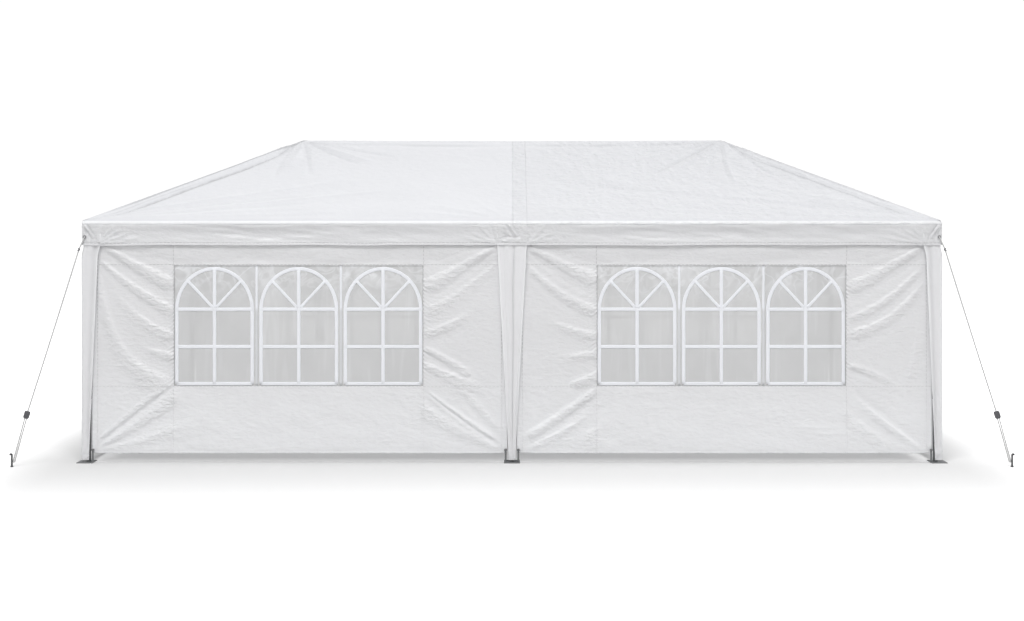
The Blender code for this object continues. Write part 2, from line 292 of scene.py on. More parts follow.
def grid_quads(rows, columns, keep=None, round_columns=False, round_rows=False):
    """Corner numbers of the quads between neighbouring points of a grid, leaving out those not kept."""
    number = np.arange(rows * columns).reshape(rows, columns)
    if round_columns:
        number = np.hstack([number, number[:, :1]])
    if round_rows:
        number = np.vstack([number, number[:1]])
    quads = np.stack([number[:-1, :-1], number[:-1, 1:], number[1:, 1:], number[1:, :-1]], -1)
    quads = quads.reshape(-1, 4)
    return quads if keep is None else quads[keep.reshape(-1)]


def weld(mesh):
    """Makes points that lie on one another one point, and drops what faces collapse."""
    bm = bmesh.new()
    bm.from_mesh(mesh)
    bmesh.ops.remove_doubles(bm, verts=bm.verts, dist=WELD)
    bmesh.ops.dissolve_degenerate(bm, edges=bm.edges, dist=WELD / 10)
    bm.to_mesh(mesh)
    bm.free()


def make_piece(name, points, quads, look, uv=None, values=None, stands_for=(), welded=False):
    """A smooth-shaded piece from points and quads, with its UV map in metres and named point values.

    Without quads, they are those of the points' own grid. The piece rides the frame's one body, fills
    a material slot, and takes the place of the nodes it stands for.
    """
    if quads is None:
        quads = grid_quads(*points.shape[:2])
    points = np.asarray(points, float).reshape(-1, 3)
    used, index = np.unique(quads, return_inverse=True)
    quads = index.reshape(quads.shape)
    mesh = bpy.data.meshes.new(name)
    mesh.vertices.add(len(used))
    mesh.vertices.foreach_set("co", points[used].astype(np.float32).ravel())
    mesh.loops.add(quads.size)
    mesh.loops.foreach_set("vertex_index", quads.astype(np.int32).ravel())
    mesh.polygons.add(len(quads))
    mesh.polygons.foreach_set("loop_start", np.arange(0, quads.size, 4, dtype=np.int32))
    mesh.update(calc_edges=True)
    if uv is not None:
        flat = np.asarray(uv, float).reshape(-1, 2)[used]
        layer = mesh.uv_layers.new(name="cloth")
        layer.data.foreach_set("uv", flat[quads.ravel()].astype(np.float32).ravel())
    for title, value in (values or {}).items():
        attribute = mesh.attributes.new(title, "FLOAT", "POINT")
        attribute.data.foreach_set("value", np.asarray(value, np.float32).reshape(-1)[used])
    mesh.shade_smooth()
    mesh.materials.append(look)
    if welded:
        weld(mesh)
    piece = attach(link_object(name, mesh), "root")
    if stands_for:
        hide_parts(*stands_for)
    return piece


def furthest(box, side):
    """How far out from the middle a box reaches on its side of the tent."""
    axis = int(side in LONG_SIDES)
    return max(abs(box[0][axis]), abs(box[1][axis]))


def flat_map(*ways):
    """A UV map from two distances, spread over their grid."""
    return np.stack(np.broadcast_arrays(*ways), -1)


def placed(side, along, height, out):
    """Points on one side of the tent, from how far along it, how high and how far out from the middle."""
    (out_x, out_y), (along_x, along_y) = SIDES[side]
    x = along_x * along + out_x * out
    y = along_y * along + out_y * out
    return np.stack(np.broadcast_arrays(x, y, height), -1)


def unit(vector):
    """A vector's direction."""
    vector = np.asarray(vector, float)
    return vector / np.linalg.norm(vector)


def upright_hint(way, most):
    """Straight up, or along x where the way itself is steeper than most."""
    return np.array([0.0, 0.0, 1.0]) if abs(way[2]) < most else np.array([1.0, 0.0, 0.0])


def tube(path, radius, sides, closed=False, twist=0.0, strands=0):
    """Points, quads and UV of a round tube.

    A ring of points is carried along the path, square to it, in a frame turned as little as possible
    from one ring to the next; strands lobes wind round it once every twist metres. An open tube ends
    in a point at each end.
    """
    path = np.asarray(path, float)
    ahead = np.roll(path, -1, 0) - np.roll(path, 1, 0) if closed else np.gradient(path, axis=0)
    ahead /= np.linalg.norm(ahead, axis=1, keepdims=True)
    across = np.zeros_like(path)
    hint = upright_hint(ahead[0], 0.8)
    for k, way in enumerate(ahead):
        hint = unit(hint - way * (hint @ way))
        across[k] = hint
    other = np.cross(ahead, across)
    angle = np.arange(sides) * 2 * math.pi / sides
    steps = np.linalg.norm(np.diff(path, axis=0), axis=1)
    run = np.concatenate([[0.0], np.cumsum(steps)])
    size = np.broadcast_to(radius, len(path))[:, None] * np.ones(sides)
    if strands:
        turned = angle[None, :] - 2 * math.pi * run[:, None] / twist
        size = size * (1 + STRAND_RISE * np.cos(strands * turned))
    ring = np.cos(angle)[None, :, None] * across[:, None, :]
    ring = ring + np.sin(angle)[None, :, None] * other[:, None, :]
    points = path[:, None, :] + size[..., None] * ring
    uv = flat_map(run[:, None], angle[None, :] * UV_RADIUS)
    if not closed:
        first, last = (np.repeat(path[[k], None, :], sides, 1) for k in (0, -1))
        points = np.concatenate([first, points, last])
        uv = np.concatenate([uv[:1], uv, uv[-1:]])
    quads = grid_quads(len(points), sides, round_columns=True, round_rows=closed)
    return points.reshape(-1, 3), quads, uv.reshape(-1, 2)


def join(shapes):
    """Several point, quad and UV sets as one, with the quads' numbers moved on."""
    points, quads, uvs = zip(*shapes)
    starts = np.cumsum([0] + [len(part) for part in points[:-1]])
    quads = [part + start for part, start in zip(quads, starts)]
    return np.concatenate(points), np.concatenate(quads), np.concatenate(uvs)


# Shader nodes


class Graph:
    """Short calls that add and link the nodes of one tree."""

    def __init__(self, tree):
        self.tree = tree

    def feed(self, socket, value):
        """Links a value that is a socket, and sets one that is a number, a vector or a colour."""
        if isinstance(value, bpy.types.NodeSocket):
            self.tree.links.new(value, socket)
        else:
            socket.default_value = (*value, 1) if socket.type == "RGBA" else value

    def add(self, kind, given=None, **settings):
        """A shader node with its settings, and with inputs given by name or number."""
        made = self.tree.nodes.new("ShaderNode" + kind)
        for title, value in settings.items():
            setattr(made, title, value)
        for title, value in (given or {}).items():
            self.feed(made.inputs[title], value)
        return made

    def math(self, operation, *values):
        """A sum of the named kind on one, two or three values."""
        return self.add("Math", dict(enumerate(values)), operation=operation).outputs[0]

    def times(self, first, second):
        return self.math("MULTIPLY", first, second)

    def times_plus(self, first, second, third):
        return self.math("MULTIPLY_ADD", first, second, third)

    def ramp(self, value, low, high, out_low=0.0, out_high=1.0):
        """A soft step from out_low below low to out_high above high."""
        given = {"Value": value, "From Min": low, "From Max": high, "To Min": out_low, "To Max": out_high}
        return self.add("MapRange", given, interpolation_type="SMOOTHSTEP").outputs[0]

    def texture(self, vector, scale, detail=3.0, rough=0.5, distortion=0.0):
        """Soft noise from 0 to 1, with this many patches a metre."""
        given = {"Vector": vector, "Scale": scale, "Detail": detail, "Roughness": rough}
        return self.add("TexNoise", {**given, "Distortion": distortion}).outputs["Fac"]

    def mix(self, share, first, second):
        """A colour between two, at this share of the way to the second."""
        given = {"Factor": share, "A": first, "B": second}
        return self.add("Mix", given, data_type="RGBA").outputs["Result"]

    def group(self, group, **given):
        """The outputs of a node group; an underscore in an input's name is a space."""
        given = {title.replace("_", " "): value for title, value in given.items()}
        return self.add("Group", given, node_tree=group).outputs

    def bump(self, height, strength, distance):
        given = {"Strength": strength, "Distance": distance, "Height": height}
        return self.add("Bump", given).outputs["Normal"]

    def split(self, vector):
        return self.add("SeparateXYZ", {0: vector}).outputs

    def surface(self, **given):
        """Feeds the Principled shader's inputs, and gives its output."""
        shader = self.tree.nodes["Principled BSDF"]
        for title, value in given.items():
            self.feed(shader.inputs[title.replace("_", " ")], value)
        return shader.outputs[0]

    def see_through(self, shader, share, **given):
        """Mixes a translucent shader into the surface, for the light that comes through."""
        through = self.add("BsdfTranslucent", given)
        mixed = self.add("MixShader", {0: share, 1: shader, 2: through.outputs[0]})
        self.feed(self.tree.nodes["Material Output"].inputs["Surface"], mixed.outputs[0])


def new_group(name, inputs, outputs):
    """A shader node group as its graph, its inputs and its outputs. An input of None is a vector."""
    group = bpy.data.node_groups.new(name, "ShaderNodeTree")
    for title, value in inputs.items():
        kind = "NodeSocketVector" if value is None else "NodeSocketFloat"
        socket = group.interface.new_socket(title, in_out="INPUT", socket_type=kind)
        if value is not None:
            socket.default_value = value
    for title in outputs:
        group.interface.new_socket(title, in_out="OUTPUT", socket_type="NodeSocketFloat")
    given, out = group.nodes.new("NodeGroupInput"), group.nodes.new("NodeGroupOutput")
    return Graph(group), given.outputs, out.inputs


def weave_group():
    """Plain weave of flat tapes: two crossed sine waves, one along each way of the cloth."""
    g, given, out = new_group("cloth_weave", {"Coordinate": None, "Pitch": 0.002}, ["Height"])
    parts = g.split(given["Coordinate"])
    turns = g.math("DIVIDE", 2 * math.pi, given["Pitch"])
    across, up = (g.math("SINE", g.times(parts[k], turns)) for k in (0, 1))
    g.feed(out["Height"], g.times_plus(g.times(across, up), 0.5, 0.5))
    return g.tree


def crinkle_group():
    """Creases of coated cloth.

    Lines: noise folded about its middle, thin and sharp, at two sizes. Height: a soft swell, with the
    flat facets and sharp valleys of distances to scattered points, at two sizes, in a bent space.
    """
    inputs = {"Coordinate": None, "Scale": 20.0, "Amount": 1.0}
    g, given, out = new_group("cloth_crinkle", inputs, ["Height", "Lines"])
    vector, scale = given["Coordinate"], given["Scale"]
    coarse = g.texture(vector, g.times(scale, 0.45), 2.0, 0.5, 0.8)
    fine = g.texture(vector, scale, 2.0, 0.5, 1.2)
    ridges = []
    for value in (coarse, fine):
        away = g.math("ABSOLUTE", g.math("SUBTRACT", value, 0.5))
        ridges.append(g.ramp(away, 0.0, 0.08, 1.0, 0.0))
    both = g.times_plus(ridges[1], 0.5, g.times(ridges[0], 0.5))
    g.feed(out["Lines"], g.times(both, given["Amount"]))
    warp = g.add("TexNoise", {"Vector": vector, "Scale": g.times(scale, 0.6)})
    bend = g.add("VectorMath", {0: warp.outputs["Color"], "Scale": 0.035}, operation="SCALE")
    bent = g.add("VectorMath", {0: vector, 1: bend.outputs[0]}, operation="ADD").outputs[0]
    height = g.times(coarse, 0.6)
    for factor, share in ((0.9, 0.8), (2.1, 0.35)):
        cells = g.add("TexVoronoi", {"Vector": bent, "Scale": g.times(scale, factor)}, feature="F1")
        height = g.times_plus(cells.outputs["Distance"], share, height)
    g.feed(out["Height"], g.times(height, given["Amount"]))
    return g.tree


def stitch_group():
    """A sewn line: one within half a width of the seam, and broken into stitches along it."""
    inputs = {"Across": 0.0, "Along": 0.0, "Place": 0.0, "Half Width": 0.002, "Pitch": 0.027}
    g, given, out = new_group("stitch_line", inputs, ["Groove", "Thread"])
    away = g.math("ABSOLUTE", g.math("SUBTRACT", given["Across"], given["Place"]))
    groove = g.ramp(away, 0.0, given["Half Width"], 1.0, 0.0)
    beat = g.math("FRACT", g.math("DIVIDE", given["Along"], given["Pitch"]))
    g.feed(out["Groove"], groove)
    g.feed(out["Thread"], g.times(g.math("LESS_THAN", beat, 0.62), groove))
    return g.tree


def grime_group():
    """Handling marks and dust: large soft blotches, more of them near the ground."""
    g, given, out = new_group("soft_grime", {"Coordinate": None, "Scale": 1.5}, ["Mask"])
    blotch = g.texture(given["Coordinate"], given["Scale"], 5.0, 0.6, 0.4)
    low = g.ramp(g.split(given["Coordinate"])[2], 0.05, 0.55, 1.0, 0.35)
    g.feed(out["Mask"], g.times(g.ramp(blotch, 0.35, 0.75), low))
    return g.tree


WEAVE = weave_group()
CRINKLE = crinkle_group()
STITCH = stitch_group()
GRIME = grime_group()


def start_material(name):
    """A new material, the graph of its nodes, and its object and UV coordinates."""
    made = bpy.data.materials.new(name)
    made.use_nodes = True
    g = Graph(made.node_tree)
    place = g.add("TexCoord").outputs
    return made, g, place["Object"], place["UV"]


def dimmed(colour, share, more=0.0):
    """A colour times a share, with a little white added, at most 1."""
    return tuple(min(1.0, c * share + more) for c in colour)


def cloth_material(name, colour, through, creasing, gloss, seams=(), values=()):
    """Coated polyethylene cloth.

    A Principled shader with a little gloss, mixed with a translucent one for the light that comes
    through. The colour is paler along creases, a painted highlight on their crests, and greyer in
    blotches; the surface has weave, creases, stitched seams and a small roughness change.

    creasing is (creases a metre, least amount, more where the cloth is crumpled, depth in metres).
    seams lists (across, place, half width): across is "u" for the distance from the middle along the
    piece, "v" for the height on it, or the name of a point value in metres. The point value crumpled
    makes creases deeper, shade paints shade into the colour, darker, and the value of painted light
    paints light into it, towards white.
    """
    made, g, solid, uv = start_material(name)
    parts = g.split(uv)
    ways = {"u": g.math("ABSOLUTE", parts[0]), "v": parts[1]}
    for title in values:
        ways[title] = g.add("Attribute", attribute_name=title).outputs["Fac"]
    scale, amount, more, depth = creasing
    if "crumpled" in values:
        amount = g.times_plus(ways["crumpled"], more, amount)
    laid = g.add("VectorMath", {0: solid, 1: (0.5, 0.5, 1.1)}, operation="MULTIPLY").outputs[0]
    creases = g.group(CRINKLE, Coordinate=laid, Scale=scale, Amount=amount)
    lines = creases["Lines"]
    weave = g.group(WEAVE, Coordinate=uv, Pitch=0.0022)["Height"]
    grime = g.group(GRIME, Coordinate=solid, Scale=1.7)["Mask"]
    groove, thread = 0.0, 0.0
    for across, at, half in seams:
        along = parts[0] if across == "v" else parts[1]
        line = g.group(STITCH, Across=ways[across], Along=along, Place=at, Half_Width=half)
        groove = g.math("MAXIMUM", groove, line["Groove"])
        thread = g.math("MAXIMUM", thread, line["Thread"])
    tint = g.mix(grime, colour, dimmed(colour, 0.95))
    # Painted highlight: the colour paler along the crease lines.
    tint = g.mix(g.times(lines, 0.35), tint, dimmed(colour, 1.06))
    tint = g.mix(g.times(thread, 0.7), tint, dimmed(colour, 0.62))
    # Painted shade: the colour darkened by the shade value.
    if "shade" in values:
        tint = g.mix(ways["shade"], tint, dimmed(colour, 0.70))
    # Painted light: the colour mixed towards white by this point value.
    if "painted_light" in values:
        tint = g.mix(ways["painted_light"], tint, PAINTED_LIGHT_WHITE)
    height = g.times_plus(groove, -0.0018, g.times(creases["Height"], depth))
    normal = g.bump(g.times_plus(weave, 0.00007, height), 1.0, 1.0)
    rough = g.times_plus(lines, -0.08, gloss)
    shader = g.surface(Base_Color=tint, Roughness=rough, Normal=normal, Sheen_Weight=0.05)
    g.see_through(shader, through, Color=tint, Normal=normal)
    return made


def film_material():
    """Soft window film, hazy and grey, a little clearer in places and paler in faint streaks, with pale
    lines on its ripples near its top edge: a painted highlight.

    The point value hem is one along the film's sewn edges, which are closed and painted dark: painted
    shade under the wall's cut edge.
    """
    made, g, solid, _ = start_material("window_film")
    creases = g.group(CRINKLE, Coordinate=solid, Scale=7.0, Amount=0.8)
    haze = g.texture(solid, 2.6, 2.0, 0.5, 0.4)
    top = g.ramp(g.split(solid)[2], UPPER_BAR, WINDOW_HIGH, 0.04, 1.0)
    tall = g.add("Mapping", {"Vector": solid, "Scale": (16.0, 16.0, 1.6)}).outputs["Vector"]
    streaks = g.ramp(g.texture(tall, 1.0, 2.0, 0.5, 0.6), 0.50, 0.72, 0.0, 0.16)
    lines = g.math("MAXIMUM", g.times(creases["Lines"], top), streaks)
    hem = g.add("Attribute", attribute_name="hem").outputs["Fac"]
    # Painted highlight: paler on the ripple lines near the top; the faint streaks are paler too.
    tint = g.mix(lines, (0.675, 0.677, 0.68), (0.86, 0.87, 0.89))
    alpha = g.times_plus(g.ramp(haze, 0.3, 0.7), 0.05, FILM_HAZE)
    alpha = g.times_plus(lines, 0.12, alpha)
    # Painted shade along the film's edges, from the hem value.
    g.surface(
        Base_Color=g.mix(hem, tint, (0.22, 0.22, 0.23)),
        Alpha=g.math("MAXIMUM", alpha, hem),
        Roughness=g.times_plus(haze, 0.10, 0.32),
        Coat_Weight=0.05,
        Coat_Roughness=0.12,
        Normal=g.bump(g.times(creases["Height"], top), 0.6, 0.004),
    )
    return made


def bar_material(name, low):
    """White welded plastic strip, faintly blue, with a soft gloss and small ripples from the welding.

    Below the upper crossbar its colour is low; light comes through it a little.
    """
    made, g, solid, _ = start_material(name)
    ripple = g.texture(solid, 60.0, 2.0, 0.5, 0.3)
    grime = g.group(GRIME, Coordinate=solid, Scale=6.0)["Mask"]
    tint = g.mix(grime, (0.93, 0.945, 0.985), (0.89, 0.905, 0.945))
    above = g.ramp(g.split(solid)[2], UPPER_BAR - 0.02, UPPER_BAR + 0.02)
    tint = g.mix(above, low, tint)
    rough = g.times_plus(ripple, 0.2, 0.35)
    shader = g.surface(Base_Color=tint, Roughness=rough, Normal=g.bump(ripple, 0.3, 0.0008))
    g.see_through(shader, 0.13, Color=tint)
    return made


def painted_steel(name, colour, rough):
    """Powder-coated steel: fine orange-peel bump, scuffs down to paler metal, dust near the ground."""
    made, g, solid, _ = start_material(name)
    peel = g.texture(solid, 900.0, 2.0, 0.5)
    scuffs = g.ramp(g.texture(solid, 35.0, 6.0, 0.7, 1.5), 0.62, 0.74)
    grime = g.group(GRIME, Coordinate=solid, Scale=9.0)["Mask"]
    tint = g.mix(grime, colour, dimmed(colour, 0.8, 0.05))
    g.surface(
        Base_Color=g.mix(g.times(scuffs, 0.35), tint, (0.62, 0.62, 0.61)),
        Metallic=g.times(scuffs, 0.6),
        Roughness=g.times_plus(grime, 0.15, rough),
        Normal=g.bump(peel, 0.15, 0.0004),
    )
    return made


def rope_material():
    """Twisted white cord with darker gaps between its strands."""
    made, g, solid, uv = start_material("guy_cord")
    parts = g.split(uv)
    turn = g.times_plus(parts[0], -628.0, g.times(parts[1], 750.0))
    strand = g.times_plus(g.math("SINE", turn), 0.5, 0.5)
    fuzz = g.texture(solid, 700.0, 3.0, 0.6)
    g.surface(
        Base_Color=g.mix(g.times(strand, 0.6), (0.60, 0.60, 0.60), (0.50, 0.50, 0.50)),
        Roughness=g.times_plus(fuzz, 0.2, 0.65),
        Normal=g.bump(g.math("ADD", strand, fuzz), 0.5, 0.0006),
    )
    return made


# The walls' white cloth, coloured darker for the roof: a shaded copy, painted shade.
ROOF_CLOTH = cloth_material(
    "roof_cloth_white",
    colour=(0.768, 0.775, 0.802),
    through=0.12,
    creasing=(34.0, 0.20, 1.0, 0.0080),
    gloss=0.45,
    seams=[("hip_gap", -0.012, 0.004), ("band_gap", CENTRE_BAND, 0.0012)],
    values=["hip_gap", "band_gap", "crumpled", "shade", "painted_light"],
)
# The walls' white cloth, coloured darker for the valance: a shaded copy, painted shade.
VALANCE_CLOTH = cloth_material(
    "valance_cloth_white",
    colour=(0.765, 0.767, 0.78),
    through=0.15,
    creasing=(42.0, 0.40, 0.8, 0.0035),
    gloss=0.33,
    seams=[("v", 0.013, 0.0022)],
    values=["crumpled"],
)
WALL_SEAMS = [
    ("u", PANEL_HALF - HEM_INSET),
    ("window_side", WINDOW_HALF + SEAM_STEP),
    ("v", WINDOW_LOW - WALL_LOW - SEAM_STEP),
    ("v", WINDOW_HIGH - WALL_LOW + SEAM_STEP),
    ("v", BOTTOM_HEM),
]
WALL_CLOTH = cloth_material(
    "wall_cloth_white",
    colour=(0.85, 0.85, 0.862),
    through=0.18,
    creasing=(42.0, 0.38, 1.0, 0.0056),
    gloss=0.34,
    seams=[(across, place, 0.003) for across, place in WALL_SEAMS],
    values=["crumpled", "window_side", "painted_light"],
)
COVER_CLOTH = cloth_material(
    "cover_cloth_white",
    colour=(0.86, 0.86, 0.875),
    through=0.15,
    creasing=(30.0, 0.2, 0.9, 0.0022),
    gloss=0.38,
    values=["crumpled", "shade", "painted_light"],
)
FILM = film_material()
BAR_WHITE = bar_material("window_bar_white", (0.93, 0.945, 0.985))
BAR_GREY = bar_material("window_bar_grey", (0.74, 0.75, 0.77))
FRAME_STEEL = painted_steel("frame_grey_paint", (0.16, 0.165, 0.17), 0.42)
STAKE_STEEL = painted_steel("stake_dark_steel", (0.05, 0.05, 0.055), 0.45)
CLIP_PLASTIC = painted_steel("clip_grey_plastic", (0.09, 0.09, 0.10), 0.38)
RING_STEEL = painted_steel("ring_grey_steel", (0.20, 0.20, 0.21), 0.35)
ROPE = rope_material()


# Roof


# Folds as rows of millimetres: where the line starts, where it bends and where it ends, then the
# height of the fold and its half width at the start and at the end. Under the two peaks the line is
# given as (inward from the peak, down the slope from the ridge).
PEAK_LEFT = [
    (20, 30, 250, 310, 520, 520, -8, 6, 16),
    (30, 20, 290, 260, 600, 460, 7, 8, 22),
    (40, 20, 360, 200, 750, 360, -6.5, 6, 18),
    (20, 40, 100, 400, 160, 750, -5.5, 8, 20),
    (0, 40, 20, 300, -20, 620, 7, 10, 35),
    (-30, 60, -120, 400, -100, 800, -5, 8, 22),
    (-50, 60, -300, 420, -620, 800, 5, 10, 40),
]
PEAK_RIGHT = [
    (20, 20, 240, 290, 660, 760, -9, 10, 13),
    (20, 60, 220, 360, 580, 840, 7, 10, 24),
    (30, 10, 300, 200, 800, 480, 4.5, 8, 24),
    (10, 40, 50, 400, 70, 850, -4, 6, 14),
    (-10, 50, 20, 400, 30, 850, 7, 8, 20),
    (-40, 50, -100, 400, -300, 800, -5.5, 8, 24),
    (-60, 50, -400, 360, -950, 780, 8, 12, 45),
    (20, 80, 140, 450, 300, 950, -5, 10, 26),
]
# From the middle of the eave, as (from the middle, up the slope)
EAVE_MIDDLE = [
    (20, 10, 300, 100, 800, 160, 5.5, 6, 30),
    (20, 10, 220, 140, 580, 300, 5, 6, 30),
    (20, 10, 120, 160, 300, 420, 4.5, 6, 26),
    (30, 10, 260, 120, 680, 230, -4.5, 6, 24),
    (30, 10, 400, 40, 950, 70, -4, 6, 22),
]


def hip_curve(t):
    """How far the sewn band reaches in from the hip at share t of the slope: it closes at both ends."""
    return HIP_BAND * np.sqrt(smooth(t, 0.0, 0.10)) * (1 - smooth(t, 0.72, 1.0) * 0.93) + 0.004


def slope_sizes(side):
    """Half the length of a side's eave and of its top, and how far out its eave and its top are."""
    eave, top = (EAVE_X, EAVE_Y), (RIDGE_X, 0.0)
    if side not in LONG_SIDES:
        eave, top = eave[::-1], top[::-1]
    return eave[0], top[0], eave[1], top[1]


def roof_folds(x, w, seed, slope, half, top_half):
    """Tension lines of one slope: low fans from both eave corners, and the rays below the peaks."""
    rng = np.random.default_rng(seed)
    height = np.zeros(np.shape(x))
    for end, peak in ((-1, PEAK_LEFT), (1, PEAK_RIGHT)):
        for k in range(9):
            reach = rng.uniform(0.9, 2.3) * half / EAVE_X
            rise = 0.04 + 0.085 * k + rng.uniform(-0.02, 0.02)
            start = (end * (half - 0.10), 0.02 + 0.012 * k)
            finish = (end * (half - reach - 0.4), min(slope * 0.75, rise + 0.06))
            bend = ((start[0] + finish[0]) / 2, rise * 0.55 + 0.02)
            size = rng.uniform(0.0020, 0.0055) * rng.choice([-1, 1])
            height += fold(x, w, (start, bend, finish), size, 0.010, rng.uniform(0.025, 0.05))
        height += PEAK_GAIN * fan_height(top_half - end * x, slope - w, peak)
    return height


def slope_height(side, s, w, level, inner, slope, number):
    """Everything that stands out from one slope, how crumpled each point is, and its painted shade.

    Folds, puckers along the sewn hip band, a groove and a crest under the ridge, the two bands down the
    middle, and crumples, finer and deeper to the right and round the peaks.
    """
    long_side = side in LONG_SIDES
    half, top_half, _, _ = slope_sizes(side)
    gap = inner - hip_curve(level) * (1.0 if long_side else 1.15)
    rightward = smooth(s, -0.3, 0.6) if long_side else 0.5 + 0 * s
    hip_left = 1 - smooth(s, -0.2, 0.2)
    height = roof_folds(s, w, 70 + number, slope, half, top_half) * (1.0 if long_side else 0.6)
    pucker = np.sin(2 * math.pi * (w * 1.4 * 11 + 14 * gap) + 2.5 * noise(w, s, 0.1, 40 + number))
    open_hip = smooth(level, 0.03, 0.2)
    seam = 0.35 + 0.65 * hip_left
    height = height - 0.0060 * bell(gap + 0.01, 0.022) * open_hip * seam
    height += 0.0012 * pucker * bell(gap, 0.035) * open_hip * seam
    height += 0.0050 * bell(gap + 0.07, 0.040) * open_hip
    height += 0.0012 * np.sin(inner * 150) * smooth(-gap, 0.0, 0.02) * open_hip
    broken = np.clip(0.70 + 0.2 * pucker + 0.4 * noise(w, s, 0.09, 47 + number), 0.15, 1)
    faded = 1 - 0.6 * smooth(level, 0.55, 0.9)
    # Painted shade along the hip's seam, broken and fading up the slope.
    shade = 0.95 * bell(gap + 0.008, 0.024) * open_hip * seam * broken * faded
    # Painted shade along the hip's outline, and in streaks beside the seam.
    edge = (0.030 + 0.012 * level) * hip_left + (1 - hip_left) * 0.055 * smooth(level, 0.0, 0.35)
    edge = np.maximum(edge, 1e-6)
    silhouette = 1 - smooth(inner, edge * 0.75, edge * 1.2)
    shade += (0.32 + 0.55 * hip_left) * silhouette * smooth(level, 0.02, 0.25)
    streaks = bell(gap + 0.055 + 0.02 * np.sin(5 * w), 0.010)
    streaks = streaks * hump(level, (0.02, 0.10), (0.30, 0.50))
    shade += 0.45 * hip_left * streaks
    near_peak = bell(np.hypot(np.abs(s) - top_half, w - slope), 0.45)
    if long_side:
        arch = np.clip(1 - (s / RIDGE_X) ** 2, 0, 1) ** 0.5
        below = slope - w - (0.075 + 0.05 * arch)
        height -= arch * 0.0040 * bell(below, 0.030)
        patchy = 0.6 + 0.4 * noise(s, w, 0.25, 45 + number)
        # Painted shade in patches under the ridge.
        shade += 0.40 * arch * bell(below + 0.02, 0.026) * patchy * smooth(np.abs(s), 0.1, 0.4)
        height = height - 0.0008 * bell(s, 0.004) - 0.0007 * bell(s - CENTRE_BAND, 0.005)
        in_band = hump(s, (0.0, 0.006), (CENTRE_BAND - 0.006, CENTRE_BAND))
        # Painted shade, a little, on the centre band and along its seam.
        shade = shade + 0.02 * in_band + 0.03 * bell(s - CENTRE_BAND, 0.005)
        height += 0.6 * fan_height(-s, w, EAVE_MIDDLE)
        height += 0.3 * fan_height(s - 0.05, w, EAVE_MIDDLE)
        rightward = np.maximum(rightward, in_band)
        # Painted shade: the right half darker.
        shade += 0.13 * smooth(s, -0.002, 0.004)
    # Painted shade: darker towards the ridge.
    shade += 0.10 * smooth(level, 0.0, 0.9)
    crumpled = np.clip(0.12 + 0.70 * rightward + 0.6 * near_peak, 0, 1)
    height += crumple(s * 1.7, w * 0.8, 0.085, 90 + number) * 0.0040 * crumpled
    height += crumple(s * 1.9 + 0.5 * w, w * 0.7, 0.060, 92 + number) * 0.0026 * crumpled
    height += 0.0030 * near_peak * crumple(s, w, 0.050, 95 + number)
    packing = bell(w - 0.62 - 0.01 * np.sin(s * 3), 0.006) + bell(w - 1.22, 0.005)
    height += 0.0010 * packing * (0.5 + 0.5 * noise(s, w, 0.3, 97 + number))
    height += 0.0040 * noise(s, w * 1.7, 0.34, 60 + number)
    return height, crumpled, np.clip(shade, 0, 1), gap


